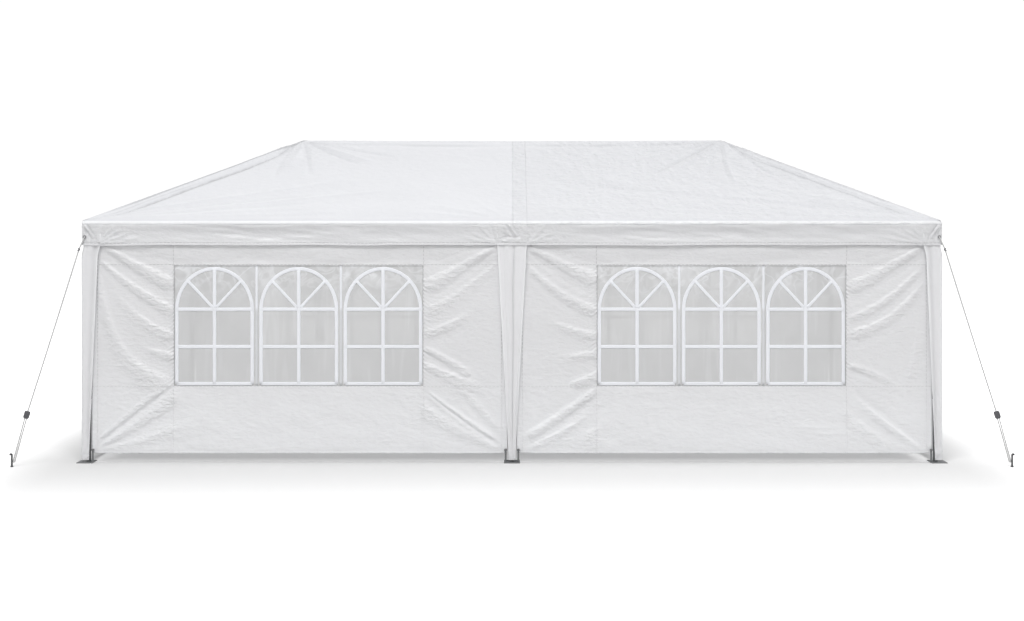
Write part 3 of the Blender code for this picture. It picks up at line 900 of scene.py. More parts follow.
def make_roof():
    """One sheet over the whole frame.

    Rings of points run round it, from the rolled edge under the eave up to the ridge, whose two sides
    meet. On each ring a side's share of the way runs evenly from hip to hip. Every slope hangs a
    little between its edges, and its folds, crumples and sewn bands are added along its normal.
    """
    t = np.concatenate([np.zeros(RIM_RINGS), np.linspace(0, 1, ROOF_LEVELS)])[:, None]
    turn = np.concatenate([np.linspace(RIM_TURN, 0, RIM_RINGS), np.zeros(ROOF_LEVELS)])[:, None]
    rise = RIDGE_Z - EAVE_Z
    rings, uvs = [], []
    values = {title: [] for title in ("hip_gap", "band_gap", "crumpled", "shade", "painted_light")}
    for number, (side, steps) in enumerate(ROOF_STEPS.items()):
        long_side = side in LONG_SIDES
        share = (np.arange(steps) / steps)[None, :]
        half, top_half, reach, top_reach = slope_sizes(side)
        width = half + (top_half - half) * t
        slope = math.hypot(reach - top_reach, rise)
        tilt = math.atan2(rise, reach - top_reach)
        s = -width + 2 * width * share
        level = t + 0 * share
        w = level * slope
        inner = width - np.abs(s)
        sag = -ROOF_SAG * np.sin(math.pi * level) * (1 - np.abs(2 * share - 1) ** 3)
        if long_side:
            sag = sag * (1 - 0.45 * bell(s, 0.20))
        height, crumpled, shade, gap = slope_height(side, s, w, level, inner, slope, number)
        held = hump(level, (0.0, 0.035), (0.985, 1.0)) * smooth(inner, 0.0, 0.02)
        lift = height * held + sag
        out_way = reach + (top_reach - reach) * t + lift * math.sin(tilt)
        z = EAVE_Z + rise * level + lift * math.cos(tilt)
        if long_side:
            ridge = smooth(level, 0.90, 1.0) * RIDGE_SAG
            z = z - ridge * (1 - np.clip(np.abs(s) / RIDGE_X, 0, 1) ** 2)
        rolled = turn > 0
        around = turn + tilt
        edge = w * math.cos(tilt) + RIM_RADIUS * (math.sin(tilt) - 1)
        rim_way = reach + RIM_RADIUS * (np.sin(around) - 1)
        out_way = np.where(rolled, rim_way, out_way + edge * (level <= 0))
        z = np.where(rolled, EAVE_Z + RIM_RADIUS * (np.cos(around) - math.cos(tilt)), z)
        rings.append(placed(side, s, z, out_way))
        uvs.append(flat_map(s, w + turn * -RIM_RADIUS))
        # Painted highlight: the rolled edge under the eave mixed towards white.
        painted_light = hump(turn, (0.05, 0.5), (1.2, 1.7)) + 0 * share
        band_gap = s if long_side else 9.0 + 0 * s
        for title, value in zip(values, (gap, band_gap, crumpled, shade * smooth(level, 0.0, 0.02), painted_light)):
            values[title].append(value)
    points = np.concatenate(rings, 1)
    values = {title: np.concatenate(parts, 1) for title, parts in values.items()}
    roof = make_piece(
        "roof_cover",
        points,
        grid_quads(*points.shape[:2], round_columns=True),
        ROOF_CLOTH,
        np.concatenate(uvs, 1),
        values,
        ["canopy_front", "canopy_back", "canopy_left", "canopy_right"],
        welded=True,
    )


# Valance: folds as (from the end or the middle, up from the hem)

CORNER_FAN = [
    (110, 12, 150, 60, 200, 115, 3.5, 5, 10),
    (110, 12, 170, 50, 260, 105, 3, 5, 11),
    (120, 10, 200, 35, 330, 85, 3, 5, 12),
    (120, 8, 240, 22, 420, 55, 2.5, 5, 14),
    (100, 14, 110, 70, 130, 125, 2.5, 5, 8),
    (15, 140, 45, 100, 85, 45, 6, 4, 9),
    (30, 145, 60, 100, 98, 30, -4, 4, 8),
    (10, 120, 30, 80, 45, 30, -3, 4, 8),
]
MIDDLE_FAN = [
    (107, 4, 150, 45, 230, 135, 3, 4, 12),
    (107, 4, 170, 35, 290, 85, 3.2, 4, 12),
    (107, 4, 200, 22, 360, 55, 2.6, 4, 13),
    (107, 8, 130, 60, 150, 135, -2, 4, 9),
]
TAB_FOLDS = [
    (-62, 142, -40, 95, -12, 60, 6, 5, 6),
    (-45, 145, -20, 100, 8, 58, -4.5, 4, 5),
    (-25, 146, 0, 105, 30, 58, 5.5, 4, 5),
    (0, 146, 20, 105, 48, 60, -4, 4, 5),
    (-78, 100, -55, 100, -35, 70, 5, 5, 7),
    (-80, 52, -10, 55, 62, 52, -5, 4, 4),
    (-70, 30, -45, 20, -20, 28, 4.5, 5, 6),
    (55, 45, 45, 25, 60, 8, 3.5, 4, 5),
]


def make_valance(side, number):
    """The strip that hangs from the eave.

    It turns in under the rolled edge of the roof and swings out again to its hem, most between the legs
    and least at them, with fans of folds from its corners and its middle, and a thicker hem.
    """
    long_side = side in LONG_SIDES
    half, _, reach, _ = slope_sizes(side)
    drop = VALANCE_HIGH - VALANCE_LOW
    places = [-half, -half + 0.45, -0.40, 0.40, half - 0.45, half]
    x = marks(places, [0.0065, 0.012, 0.0065, 0.012, 0.0065])[None, :]
    v = marks([0.0, 0.010, 0.018, drop], [0.0025, 0.004, 0.0068])[:, None]
    bay = half if long_side else 2 * half
    strength = np.sin(math.pi * np.clip((half - np.abs(x)) / bay, 0, 1)) ** 0.8
    down = np.clip(1 - v / drop, 0, 1)
    recess = 0.013 * strength * smooth(down, 0.08, 0.50) * (1 - smooth(down, 0.50, 1.0))
    recess = recess * (1 + 0.45 * noise(x + 0 * v, v * 4, 0.30, 11 + number))
    drift = 0.0045 * strength * noise(x * 0.8 + v * 2.0, v * 4.5, 0.11, 12 + number)
    xs, height = x + 0 * v, v + 0 * x
    middle = np.abs(xs)
    end = half - middle
    out = -recess + drift * smooth(v, 0.01, 0.05) + 1.4 * VALANCE_GAIN * fan_height(end, height, CORNER_FAN)
    near = bell(end, 0.30)
    if long_side:
        out += VALANCE_GAIN * fan_height(middle, height, MIDDLE_FAN)
        out += VALANCE_GAIN * fan_height(xs, height, TAB_FOLDS)
        out -= 0.003 * bell(middle - 0.105, 0.004)
        near = near + bell(middle, 0.26)
    crumpled = np.clip(0.25 + near, 0, 1)
    out += 0.0018 * crumpled * crumple(xs, height, 0.035, 13 + number)
    out += 0.0020 * bell(v - 0.005, 0.005)
    tuck = RIM_RADIUS * 0.75 * smooth(v, drop - 0.026, drop)
    spread = reach - 0.0015 + out * smooth(end, 0.0, 0.012) - tuck
    lip = 0.0035 * noise(x, 0 * x, 0.35, 15 + number) * smooth(end[:1], 0, 0.2)
    points = placed(side, x, VALANCE_LOW + height + lip * (1 - v / drop), spread)
    piece = make_piece(
        f"valance_cloth_{side}",
        points,
        None,
        VALANCE_CLOTH,
        flat_map(x, v),
        {"crumpled": crumpled},
        [f"valance_{side}"],
    )
    return points[0]


def make_hem_cord(loops):
    """A round cord sewn along the valance's hem all the way round, carried along the hem's own points."""
    path = np.concatenate([loop[:-1] for loop in loops])
    points, quads, uv = tube(path, HEM_CORD, 6, closed=True)
    # The cord is in the paler cover cloth rather than the valance's: a painted highlight along the hem.
    make_piece("valance_hem_cord", points, quads, COVER_CLOTH, uv)


# Walls: folds at their ends, from the corner inwards as (distance from the end, height above the
# ground). A tenth number is the fold's own lean.

OUTER_LEFT = [
    (75, 1520, 315, 1374, 590, 1235, 8.5, 10, 36),
    (90, 1535, 300, 1470, 575, 1392, -6.5, 10, 26),
    (75, 1480, 330, 1262, 590, 1130, -5.5, 12, 28),
    (50, 1420, 260, 1225, 590, 1045, 6.5, 12, 28),
    (50, 1390, 260, 1120, 590, 965, -4.5, 14, 26),
    (120, 1240, 330, 950, 590, 880, 5.5, 18, 26),
    (294, 830, 440, 760, 590, 745, 4.5, 18, 22),
    (50, 1340, 120, 620, 575, 548, 8, 14, 40),
    (90, 1260, 215, 760, 560, 640, -5.5, 18, 36),
    (42, 125, 270, 310, 560, 528, -6.5, 8, 8, 0.0),
    (45, 160, 250, 350, 500, 530, 5.5, 10, 18),
    (40, 110, 300, 250, 620, 505, 7, 12, 30),
    (40, 95, 400, 210, 700, 430, -4.5, 12, 34),
    (50, 90, 500, 160, 930, 400, 4, 14, 50),
    (60, 85, 600, 110, 1150, 300, -3, 14, 50),
]
INNER_LEFT = [
    (60, 1525, 339, 1359, 590, 1220, 8.5, 10, 38),
    (80, 1540, 330, 1470, 585, 1380, -7.5, 12, 30),
    (70, 1490, 340, 1255, 590, 1130, -5, 12, 28),
    (60, 1400, 360, 1140, 590, 1050, 4, 14, 30),
    (190, 1100, 418, 927, 590, 905, 6, 16, 22),
    (140, 1020, 400, 855, 590, 835, -5, 16, 22),
    (590, 810, 340, 690, 250, 600, 7, 12, 30),
    (590, 760, 360, 640, 250, 560, -5, 12, 26),
    (590, 700, 380, 590, 200, 530, 6.5, 14, 30),
    (570, 505, 300, 300, 70, 160, 8, 12, 20),
    (575, 500, 300, 275, 75, 135, -6.5, 8, 9, 0.0),
    (380, 515, 200, 300, 75, 180, -5.5, 20, 14),
    (420, 600, 180, 400, 60, 230, 4.5, 30, 14),
    (50, 100, 330, 200, 640, 430, 4.5, 14, 36),
    (50, 90, 480, 140, 900, 330, -3, 14, 50),
]
INNER_RIGHT = [
    (60, 1525, 280, 1400, 590, 1272, 8, 10, 32),
    (80, 1540, 300, 1475, 585, 1375, -7, 12, 30),
    (80, 1470, 290, 1290, 590, 1130, -6, 14, 28),
    (64, 1390, 280, 1162, 590, 1040, 6, 14, 28),
    (70, 1330, 280, 1060, 590, 965, -3.5, 14, 24),
    (170, 1020, 380, 917, 590, 880, 5, 16, 22),
    (280, 745, 430, 740, 590, 770, 4.5, 20, 20),
    (290, 530, 420, 600, 590, 700, -6, 20, 26),
    (360, 545, 470, 570, 590, 640, 6, 14, 20),
    (560, 520, 280, 308, 45, 175, 9.5, 14, 24),
    (540, 545, 270, 350, 45, 215, -6, 12, 20),
    (570, 440, 290, 240, 45, 110, -6.5, 14, 24),
    (620, 420, 320, 190, 50, 98, 4.5, 24, 14),
    (700, 500, 600, 330, 330, 150, -3.5, 30, 30),
    (830, 500, 720, 300, 420, 130, 3, 36, 40),
]
OUTER_RIGHT = [
    (60, 1515, 330, 1350, 590, 1215, 8, 10, 36),
    (80, 1530, 320, 1465, 585, 1378, -7, 12, 28),
    (60, 1440, 300, 1250, 590, 1110, -6, 14, 30),
    (55, 1380, 330, 1080, 590, 1000, 5.5, 14, 24),
    (55, 1330, 300, 1010, 590, 945, -4, 14, 22),
    (55, 1270, 260, 960, 590, 895, 5.5, 14, 24),
    (110, 1080, 320, 830, 590, 805, -4.5, 18, 18),
    (590, 690, 420, 640, 270, 555, 5.5, 14, 26),
    (590, 640, 440, 585, 300, 535, -4, 12, 22),
    (120, 800, 190, 640, 240, 540, -3.5, 20, 24),
    (60, 1000, 120, 780, 160, 560, 3.5, 20, 30),
    (575, 520, 300, 290, 45, 105, -8, 12, 22),
    (560, 470, 330, 265, 60, 90, 7.5, 16, 22),
    (580, 380, 380, 220, 90, 85, -5.5, 20, 22),
    (700, 460, 560, 260, 250, 100, 3.5, 30, 30),
]


def end_height(end, z, rows):
    """Folds of one end of a wall, worked out only where they reach."""
    near = end[0] < 1.25
    total = 0
    for row in rows:
        line, size, narrow, wide = in_metres(row)
        lean = row[9] if len(row) > 9 else FOLD_LEAN
        if size < 0 and lean:
            size *= VALLEY_SHARE
        narrow, wide = narrow * FOLD_START, wide * FOLD_SPREAD
        total = total + fold(end[:, near], z[:, near], line, size, narrow, wide, lean)
    height = np.zeros(end.shape)
    height[:, near] = total * FOLD_GAIN
    return height


def window_middle(node, side):
    """How far along its side a window's middle is, as its box in the frame says."""
    low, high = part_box(node)
    way = SIDES[side][1]
    return ((low.x + high.x) * way[0] + (low.y + high.y) * way[1]) / 2


def make_wall(panel, side, middle, left_folds, right_folds, number):
    """One wall panel with its window cut out.

    A flat grid whose lines follow the seams, pushed out and in by the folds from its four corners, the
    puckers along the window's sides, long soft waves, crumples and raised seams, and held flat along
    its top, its ends and its window's upper and lower edges. The front's panels have the finer grid.
    """
    node = f"wall_{panel}"
    low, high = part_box(node)
    half = (max(high.x - low.x, high.y - low.y)) / 2
    shift = window_middle(f"window_{panel}", side) - middle
    seam, edge = WINDOW_HALF + SEAM_STEP, half - HEM_INSET
    low_seam, high_seam = WINDOW_LOW - SEAM_STEP, WINDOW_HIGH + SEAM_STEP
    cell, wide = (FINE_CELL, 0.011) if side == "front" else (PLAIN_CELL, 0.018)
    window_lines = np.array([-seam, -WINDOW_HALF, WINDOW_HALF, seam]) + shift
    steps = [cell, cell, cell, wide, cell, cell, cell]
    s = marks([-half, -edge, *window_lines, edge, half], steps)[None, :]
    rows = [WALL_LOW, WALL_LOW + BOTTOM_HEM, low_seam, WINDOW_LOW, WINDOW_HIGH, high_seam, WALL_HIGH]
    z = marks(rows, [cell * 0.6, cell, cell, cell * 1.05, cell, cell])[:, None]
    sz, zz = s + 0 * z, z + 0 * s
    left, right = sz + half, half - sz
    height = end_height(left, zz, left_folds) + end_height(right, zz, right_folds)
    folded = np.clip(np.abs(height) / 0.006, 0, 1)
    end = np.minimum(left, right)
    away = np.abs(sz - shift)
    from_window = np.clip(away - WINDOW_HALF, 0, 1)

    # Puckers along the window's sides
    sill, head = (WINDOW_LOW - 0.02, WINDOW_LOW + 0.03), (WINDOW_HIGH - 0.03, WINDOW_HIGH + 0.02)
    in_window = hump(zz, sill, head)
    phase = zz / PUCKER_PITCH + 0.4 * noise(sz, zz, 0.12, 300 + number)
    phase = phase + 1.2 * (away - WINDOW_HALF) / 0.05
    size = 0.5 + 0.5 * noise(zz, sz * 0.2, 0.07, 310 + number)
    height += 0.0032 * np.sin(2 * math.pi * phase) * np.exp(-from_window / 0.030) * in_window * size

    # Crumples on the folds, soft waves between them, and a swag above the window
    slant = zz + end * (1.1 * smooth(zz, 0.40, 0.70) - 0.60)
    crisp = crumple(sz * 0.50, slant, 0.024, 320 + number)
    crisp = crisp + 0.8 * crumple(sz * 0.7, slant, 0.013, 325 + number)
    strip_share = smooth(away, WINDOW_HALF - 0.05, WINDOW_HALF + 0.02)
    ridge = np.clip(height / 0.0045, 0, 1)
    crumpled = 0.10 + 0.85 * ridge * strip_share * np.exp(-from_window / 0.35)
    crumpled = np.clip(crumpled + 0.20 * folded * strip_share, 0, 1)
    height += (0.00020 + 0.0017 * crumpled * strip_share) * crisp
    waves = noise(sz * 0.45, zz * 1.6 + sz * 0.25, 0.13, 330 + number)
    height += 0.0022 * waves * (0.5 + 0.8 * (1 - strip_share))
    below = 1 - smooth(zz, WINDOW_LOW - 0.06, WINDOW_LOW)
    height += 0.0017 * below * crumple(sz, zz * 1.3, 0.10, 340 + number)
    swag = 0.0035 * smooth(zz, WINDOW_HIGH, WINDOW_HIGH + 0.05)
    swag = swag * np.sin(3 * math.pi * sz / half + number) * smooth(WALL_HIGH - zz, 0.02, 0.12)
    height += swag

    # Held edges, the push of the frame under the valance, the flare at the foot, and raised seams
    calm = smooth(end, 0.002, 0.055) * smooth(WALL_HIGH - zz, 0.0, 0.05)
    near_rows = np.minimum(np.abs(zz - WINDOW_LOW), np.abs(zz - WINDOW_HIGH))
    calm = calm * np.where(away < WINDOW_HALF + 0.01, smooth(near_rows, -0.004, 0.035), 1.0)
    height = height * calm * smooth(zz, WALL_LOW - 0.01, WALL_LOW + 0.03)
    pressed = hump(zz, (1.39, 1.50), (VALANCE_LOW - 0.012, VALANCE_LOW + 0.03))
    height = height * (1 - 0.6 * smooth(zz, 1.46, 1.53))
    height += WALL_BULGE * pressed * smooth(end, 0.0, 0.1)
    height += WALL_FLARE * (1 - smooth(zz, WALL_LOW, 0.50)) * smooth(end, 0.0, 0.15)
    height += 0.0008 * bell(away - seam, 0.006) + 0.0008 * bell(np.abs(sz) - edge, 0.006)
    height += 0.0010 * bell(zz - low_seam, 0.006) + 0.0010 * bell(zz - high_seam, 0.006)
    height += 0.0026 * bell(zz - WALL_LOW - BOTTOM_HEM * 0.5, BOTTOM_HEM * 0.5)

    columns, levels = (s[0, :-1] + s[0, 1:]) / 2, (z[:-1, 0] + z[1:, 0]) / 2
    in_row = (levels > WINDOW_LOW) & (levels < WINDOW_HIGH)
    hole = (np.abs(columns - shift) < WINDOW_HALF)[None, :] & in_row[:, None]
    # Painted light: a pale line along the bottom hem, and the wall paler towards the ground below 0.9 m.
    lit = 0.8 * bell(zz - WALL_LOW, 0.010) + 0.95 * (1 - smooth(zz, 0.1, 0.9))
    piece = make_piece(
        f"cloth_{node}",
        placed(side, middle + sz, zz, furthest((low, high), side) + height),
        grid_quads(*sz.shape, keep=~hole),
        WALL_CLOTH,
        flat_map(sz, zz - WALL_LOW),
        {"crumpled": crumpled, "window_side": away, "painted_light": np.clip(lit, 0, 1)},
        [node],
    )
    size = (2 * half + 0.02, WALL_HIGH - WALL_LOW + 0.02)


# Windows


def film_height(s, z, number):
    """How far the film stands out: soft ripples, and short fans under the top edge between the arches."""
    height = 0.0012 * noise(s * 2.0 + 5, z + s * 0.3, 0.16, 400 + number)
    top = hump(z, (WINDOW_HIGH - 0.34, WINDOW_HIGH - 0.04), (WINDOW_HIGH - 0.02, WINDOW_HIGH))
    height = height + 0.0016 * top * crumple(s * 1.2, z, 0.09, 410 + number)
    away = np.abs(np.mod(s + ARCH_PITCH, ARCH_PITCH) - ARCH_PITCH / 2)
    height = height + 0.0014 * top * np.sin(away * 60 + z * 25)
    edge = np.minimum(WINDOW_HALF - np.abs(s), np.minimum(z - WINDOW_LOW, WINDOW_HIGH - z))
    return height * smooth(edge, 0.0, 0.03)


def strip_shape(side, middle, reach, number, crown, path_s, path_z, half_width):
    """One strip welded on the film, as points, quads and UV.

    The cross section is a shallow crown: it leaves the film at one edge, rises to the middle and comes
    back down at the other, and its back lies on the film. It is carried along the path, and closed to
    a point at each end.
    """
    path = np.stack([path_s, path_z], -1)
    way = np.gradient(path, axis=0)
    way /= np.linalg.norm(way, axis=1, keepdims=True)
    across = np.array([1.0, 0.93, 0.55, 0.0, -0.55, -0.93, -1.0, 0.0])
    lift = np.array([0.10, 0.75, 1.0, 0.88, 1.0, 0.75, 0.10, -0.10]) * BAR_THICK
    s = path[:, None, 0] - way[:, None, 1] * across * half_width
    z = path[:, None, 1] + way[:, None, 0] * across * half_width
    points = placed(side, middle + s, z, reach - 0.0010 + film_height(s, z, number) + lift * crown)
    ends = [np.repeat(points[[k]].mean(1, keepdims=True), len(across), 1) for k in (0, -1)]
    points = np.concatenate([ends[0], points, ends[1]])
    quads = grid_quads(*points.shape[:2], round_columns=True)
    flat = points.reshape(-1, 3)
    return flat, quads, flat_map(flat[:, 0] + flat[:, 1], flat[:, 2])


def arch_paths():
    """The bars of the three arched sets of one window, as (s, z, half width) paths.

    Each set has an outline (two uprights joined by half an ellipse), a sill, two crossbars, an upright
    in the middle, and two spokes at 45 degrees from where the upright meets the upper crossbar.
    """
    paths = []
    half = ARCH_HALF - BAR_HALF
    angle = np.linspace(0, math.pi, 41)
    rise = ARCH_TOP - BAR_HALF - UPPER_BAR
    up = np.linspace(LOWER_BAR, UPPER_BAR, 24)[:-1]
    for middle in (-ARCH_PITCH, 0.0, ARCH_PITCH):
        sides = (middle + half + 0 * up, middle + half * np.cos(angle), middle - half + 0 * up)
        z = np.concatenate([up, UPPER_BAR + rise * np.sin(angle), up[::-1]])
        paths.append((np.concatenate(sides), z, BAR_HALF))
        for height in (LOWER_BAR, MIDDLE_BAR, UPPER_BAR):
            s = np.linspace(middle - half, middle + half, 24)
            paths.append((s, height + 0 * s, BAR_HALF))
        z = np.linspace(LOWER_BAR, ARCH_TOP - BAR_HALF, 36)
        paths.append((middle + 0 * z, z, BAR_HALF))
        for way in (-1, 1):
            share = np.linspace(0.03, 1, 12)
            s = middle + way * share * half * math.cos(math.radians(45))
            z = UPPER_BAR + share * rise * math.sin(math.radians(45))
            paths.append((s, z, BAR_HALF * 0.82))
    return paths


def divider_paths():
    """The two uprights between the arched sets, as (s, z, half width) paths."""
    z = np.linspace(WINDOW_LOW + 0.002, WINDOW_HIGH - 0.002, 40)
    return [(way * ARCH_PITCH / 2 + 0 * z, z, DIVIDER_HALF) for way in (-1, 1)]


def make_window(panel, side, number):
    """A sheet of film behind the wall's opening, its welded white bars, and two uprights between them."""
    node = f"window_{panel}"
    middle = window_middle(node, side)
    low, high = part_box(node)
    reach = furthest((low, high), side)
    half, near = WINDOW_HALF + WINDOW_LAP, WINDOW_HALF - 0.012
    cells = [0.015, 0.003, 0.02, 0.003, 0.015]
    s = marks([-half, -WINDOW_HALF, -near, near, WINDOW_HALF, half], cells)[None, :]
    rows = [low.z, WINDOW_LOW, WINDOW_LOW + 0.008, WINDOW_HIGH - 0.008, WINDOW_HIGH, high.z]
    z = marks(rows, cells)[:, None]
    sz, zz = s + 0 * z, z + 0 * s
    # Painted shade along the film's edges: the hem value, strongest at the sides.
    side_hem = 1 - smooth(WINDOW_HALF - np.abs(sz), 0.002, 0.007)
    row_hem = 1 - smooth(np.minimum(zz - WINDOW_LOW, WINDOW_HIGH - zz), 0.0, 0.004)
    film = make_piece(
        f"film_{node}",
        placed(side, middle + sz, zz, reach - 0.0012 + film_height(sz, zz, number)),
        None,
        FILM,
        flat_map(sz, zz),
        {"hem": 0.32 * np.maximum(side_hem, 0.2 * row_hem)},
        [node],
    )
    for title, look, paths, crown in (
        ("bars", BAR_WHITE, arch_paths(), 1.0),
        ("uprights", BAR_GREY, divider_paths(), 0.5),
    ):
        shapes = [strip_shape(side, middle, reach, number, crown, *path) for path in paths]
        points, quads, uv = join(shapes)
        make_piece(f"{title}_{node}", points, quads, look, uv, welded=True)


# Leg covers


def cover_grid(node, columns, widths, top_share, top_reach):
    """The grid of one leg cover: across from -1 to 1, and up in metres.

    Half its width narrows evenly from the first of the widths down to the second. It is crumpled at
    its foot, and a little under its top.
    """
    low, high = (corner.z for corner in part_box(node))
    z = marks([low, low + 0.14, high], [0.006, 0.012])[:, None]
    p = np.linspace(-1, 1, columns)[None, :]
    along = p * (widths[1] + (widths[0] - widths[1]) * np.clip((z - low) / (high - low), 0, 1))
    foot = bell(z - low, 0.11)
    crumpled = np.clip(0.1 + 0.9 * foot + top_share * bell(high - z, top_reach) + 0 * p, 0, 1)
    return z, p, along, 1 - (z - low) / (high - low), foot, crumpled


def make_cover(node, points, along, z, values):
    """A leg cover from its points."""
    leg, uv = node.replace("leg_cover", "leg"), flat_map(along, z)
    piece = make_piece(f"cloth_{node}", points, None, COVER_CLOTH, uv, values, [node])


def make_corner_cover(node, side_x, side_y, number):
    """A cloth sleeve folded round a corner leg.

    Across it runs from one free edge over the rounded corner to the other, down it narrows to the
    foot. Each face has a lengthwise hollow near its rolled free edge; crumples stand out near the foot
    and a little under the top.
    """
    z, p, along, down, foot, crumpled = cover_grid(node, 65, CORNER_COVER, 0.45, 0.16)
    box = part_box(node)
    bulge = COVER_BULGE * (1 - smooth(z, VALANCE_LOW - 0.08, VALANCE_LOW))
    bend = COVER_CORNER
    angle = np.clip((along + bend) / (2 * bend), 0, 1) * math.pi / 2
    x = furthest(box, "left") + bulge - bend + bend * np.cos(angle) - np.clip(along - bend, 0, None)
    y = furthest(box, "front") - COVER_LEAN * down - bend
    y = y + bend * np.sin(angle) - np.clip(-along - bend, 0, None)
    face = np.abs(p) + 0.03 * noise(z, p * 0.4, 0.35, 500 + number)
    lift = 0.0045 * bell(face - 0.97, 0.07) - 0.0060 * bell(face - 0.70, 0.14)
    lift = (lift + 0.0030 * bell(face - 0.35, 0.16)) * smooth(z, box[0].z, box[0].z + 0.25)
    lift += 0.0045 * foot * crumple(along, z * 0.6 + 0 * p, 0.026, 510 + number)
    lift += 0.0012 * crumple(along, z * 0.5 + 0 * p, 0.05, 520 + number)
    lift = np.clip(lift, -0.006, 0.009)
    x, y = side_x * (x + lift * np.cos(angle)), side_y * (y + lift * np.sin(angle))
    points = np.stack([x, y, z + 0 * p], -1)
    if side_x * side_y > 0:
        points, along = points[:, ::-1], along[:, ::-1]
    # Painted shade in each face's hollow and along the outer bend; painted light along the free edges.
    shade = 0.35 * bell(face - 0.72, 0.14) * (1 - foot) + 0.9 * bell(along + 0.008, 0.009)
    values = {"crumpled": crumpled, "shade": shade, "painted_light": 0.7 * bell(face - 0.98, 0.05)}
    make_cover(node, points, along, z, values)


def make_middle_cover(node, side, number):
    """A tapered cloth strip down a middle leg: a groove down its centre between two full faces, rolled
    edges, and a crumpled foot."""
    z, p, along, down, foot, crumpled = cover_grid(node, 61, MIDDLE_COVER, 0.5, 0.14)
    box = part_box(node)
    bent = p + 0.05 * noise(z, p * 0.3, 0.4, 525 + number) - 0.13
    faces = bell(np.abs(bent) - 0.42, 0.22) - 0.3 * bell(np.abs(bent) - 0.72, 0.06)
    crest = 0.0050 * faces - 0.0055 * bell(bent, 0.07) + 0.0040 * bell(np.abs(p) - 0.95, 0.05)
    lift = crest * smooth(z, box[0].z, box[0].z + 0.3) - 0.0015
    lift += 0.0040 * foot * crumple(along, z * 0.6 + 0 * p, 0.024, 530 + number)
    lift += 0.0010 * crumple(along, z * 0.5 + 0 * p, 0.06, 540 + number)
    points = placed(side, along, z, furthest(box, side) - COVER_LEAN * down + lift)
    # Painted shade in the centre groove; painted light along the rolled edges.
    shade = 0.55 * bell(bent, 0.08) * (1 - foot) * smooth(box[1].z - z, 0.05, 0.2)
    painted_light = 0.7 * bell(np.abs(p) - 0.95, 0.05) + 0 * z
    values = {"crumpled": crumpled, "shade": shade, "painted_light": painted_light}
    make_cover(node, points, along, z, values)


# Guy ropes


def ring_shape(centre, radius, thick, way, count):
    """A closed ring of round wire about a centre, square to a direction."""
    way = unit(way)
    first = unit(np.cross(way, upright_hint(way, 0.9)))
    second = np.cross(way, first)
    angle = (np.arange(count) * 2 * math.pi / count)[:, None]
    path = np.asarray(centre) + radius * (np.cos(angle) * first + np.sin(angle) * second)
    return tube(path, thick, 8, closed=True)


def block_shape(centre, half, axes):
    """A rounded block: a sphere's two angles with each of its sines and cosines raised to a low power."""
    up = np.linspace(-math.pi / 2, math.pi / 2, 15)[:, None]
    turn = np.arange(28)[None, :] * 2 * math.pi / 28
    rise, lie, across, ahead = (
        np.sign(value) * np.abs(value) ** BLOCK_POWER
        for value in (np.sin(up), np.cos(up), np.cos(turn), np.sin(turn))
    )
    local = (half[0] * lie * across, half[1] * lie * ahead, half[2] * rise)
    points = np.asarray(centre) + flat_map(*local) @ np.asarray(axes)
    return points.reshape(-1, 3), grid_quads(*points.shape[:2], round_columns=True)


def straight(start, end, sag=0.0):
    """Points from start to end at about the rope's step, hanging by a parabola of the given depth."""
    start, end = np.asarray(start, float), np.asarray(end, float)
    count = max(3, int(np.linalg.norm(end - start) / ROPE_STEP))
    t = np.linspace(0, 1, count)[:, None]
    return start + (end - start) * t - np.array([0, 0, 1]) * sag * 4 * t * (1 - t)


def make_guy(row, column, side_x, side_y):
    """A rope from the valance's corner through its ring down to the tensioner, and a loop of two strands
    from there round the stake; with the grommet, the knot's rings and the tensioner."""
    turn = np.array([side_x, side_y, 1])
    grommet, ring, stake = (np.array(p) * turn for p in (GROMMET, RING, STAKE))
    down = unit(stake - ring)
    tensioner = ring + (stake - ring) * TENSIONER_SHARE
    top = tensioner - down * TENSIONER_HALF[2]
    bottom = tensioner + down * TENSIONER_HALF[2]
    flat = unit(np.cross(down, [0, 0, 1]))
    across = np.cross(flat, down)
    end = stake - down * 0.012 + across * ROPE_STAND_OFF * np.sign(across @ [-side_x, 0, 0])
    runs = [(straight(grommet, ring), ROPE_RADIUS)]
    runs.append((straight(ring, top + down * 0.01, sag=0.004), ROPE_RADIUS))
    for way in (-1, 1):
        path = straight(bottom - down * 0.01 + across * way * 0.006, end + across * way * 0.005)
        runs.append((path, LOOP_RADIUS))
    shapes = [tube(path, radius, 8, twist=ROPE_TWIST, strands=ROPE_STRANDS) for path, radius in runs]
    angle = np.linspace(0, math.pi, 12)[:, None]
    loop = end + across * 0.005 * np.cos(angle) + down * 0.010 * np.sin(angle)
    shapes.append(tube(loop, LOOP_RADIUS, 8))
    points, quads, uv = join(shapes)
    corner = f"{row}_{column}"
    node = f"guy_rope_{corner}"
    make_piece(f"rope_{corner}", points, quads, ROPE, uv, stands_for=[node], welded=True)
    points, quads = block_shape(tensioner, TENSIONER_HALF, np.stack([flat, across, down]))
    make_piece(f"tensioner_{corner}", points, quads, CLIP_PLASTIC, welded=True)
    knots = []
    for k in range(2):
        tilt = down + 0.5 * across * (-1) ** k
        knots.append(ring_shape(ring + down * (0.004 + 0.009 * k), 0.0060, LOOP_RADIUS, tilt, 16))
    knots.append(ring_shape(grommet + np.array([0, side_y * 0.002, 0]), 0.0085, 0.0030, [0, 1, 0], 20))
    points, quads, _ = join(knots)
    make_piece(f"knot_{corner}", points, quads, RING_STEEL)


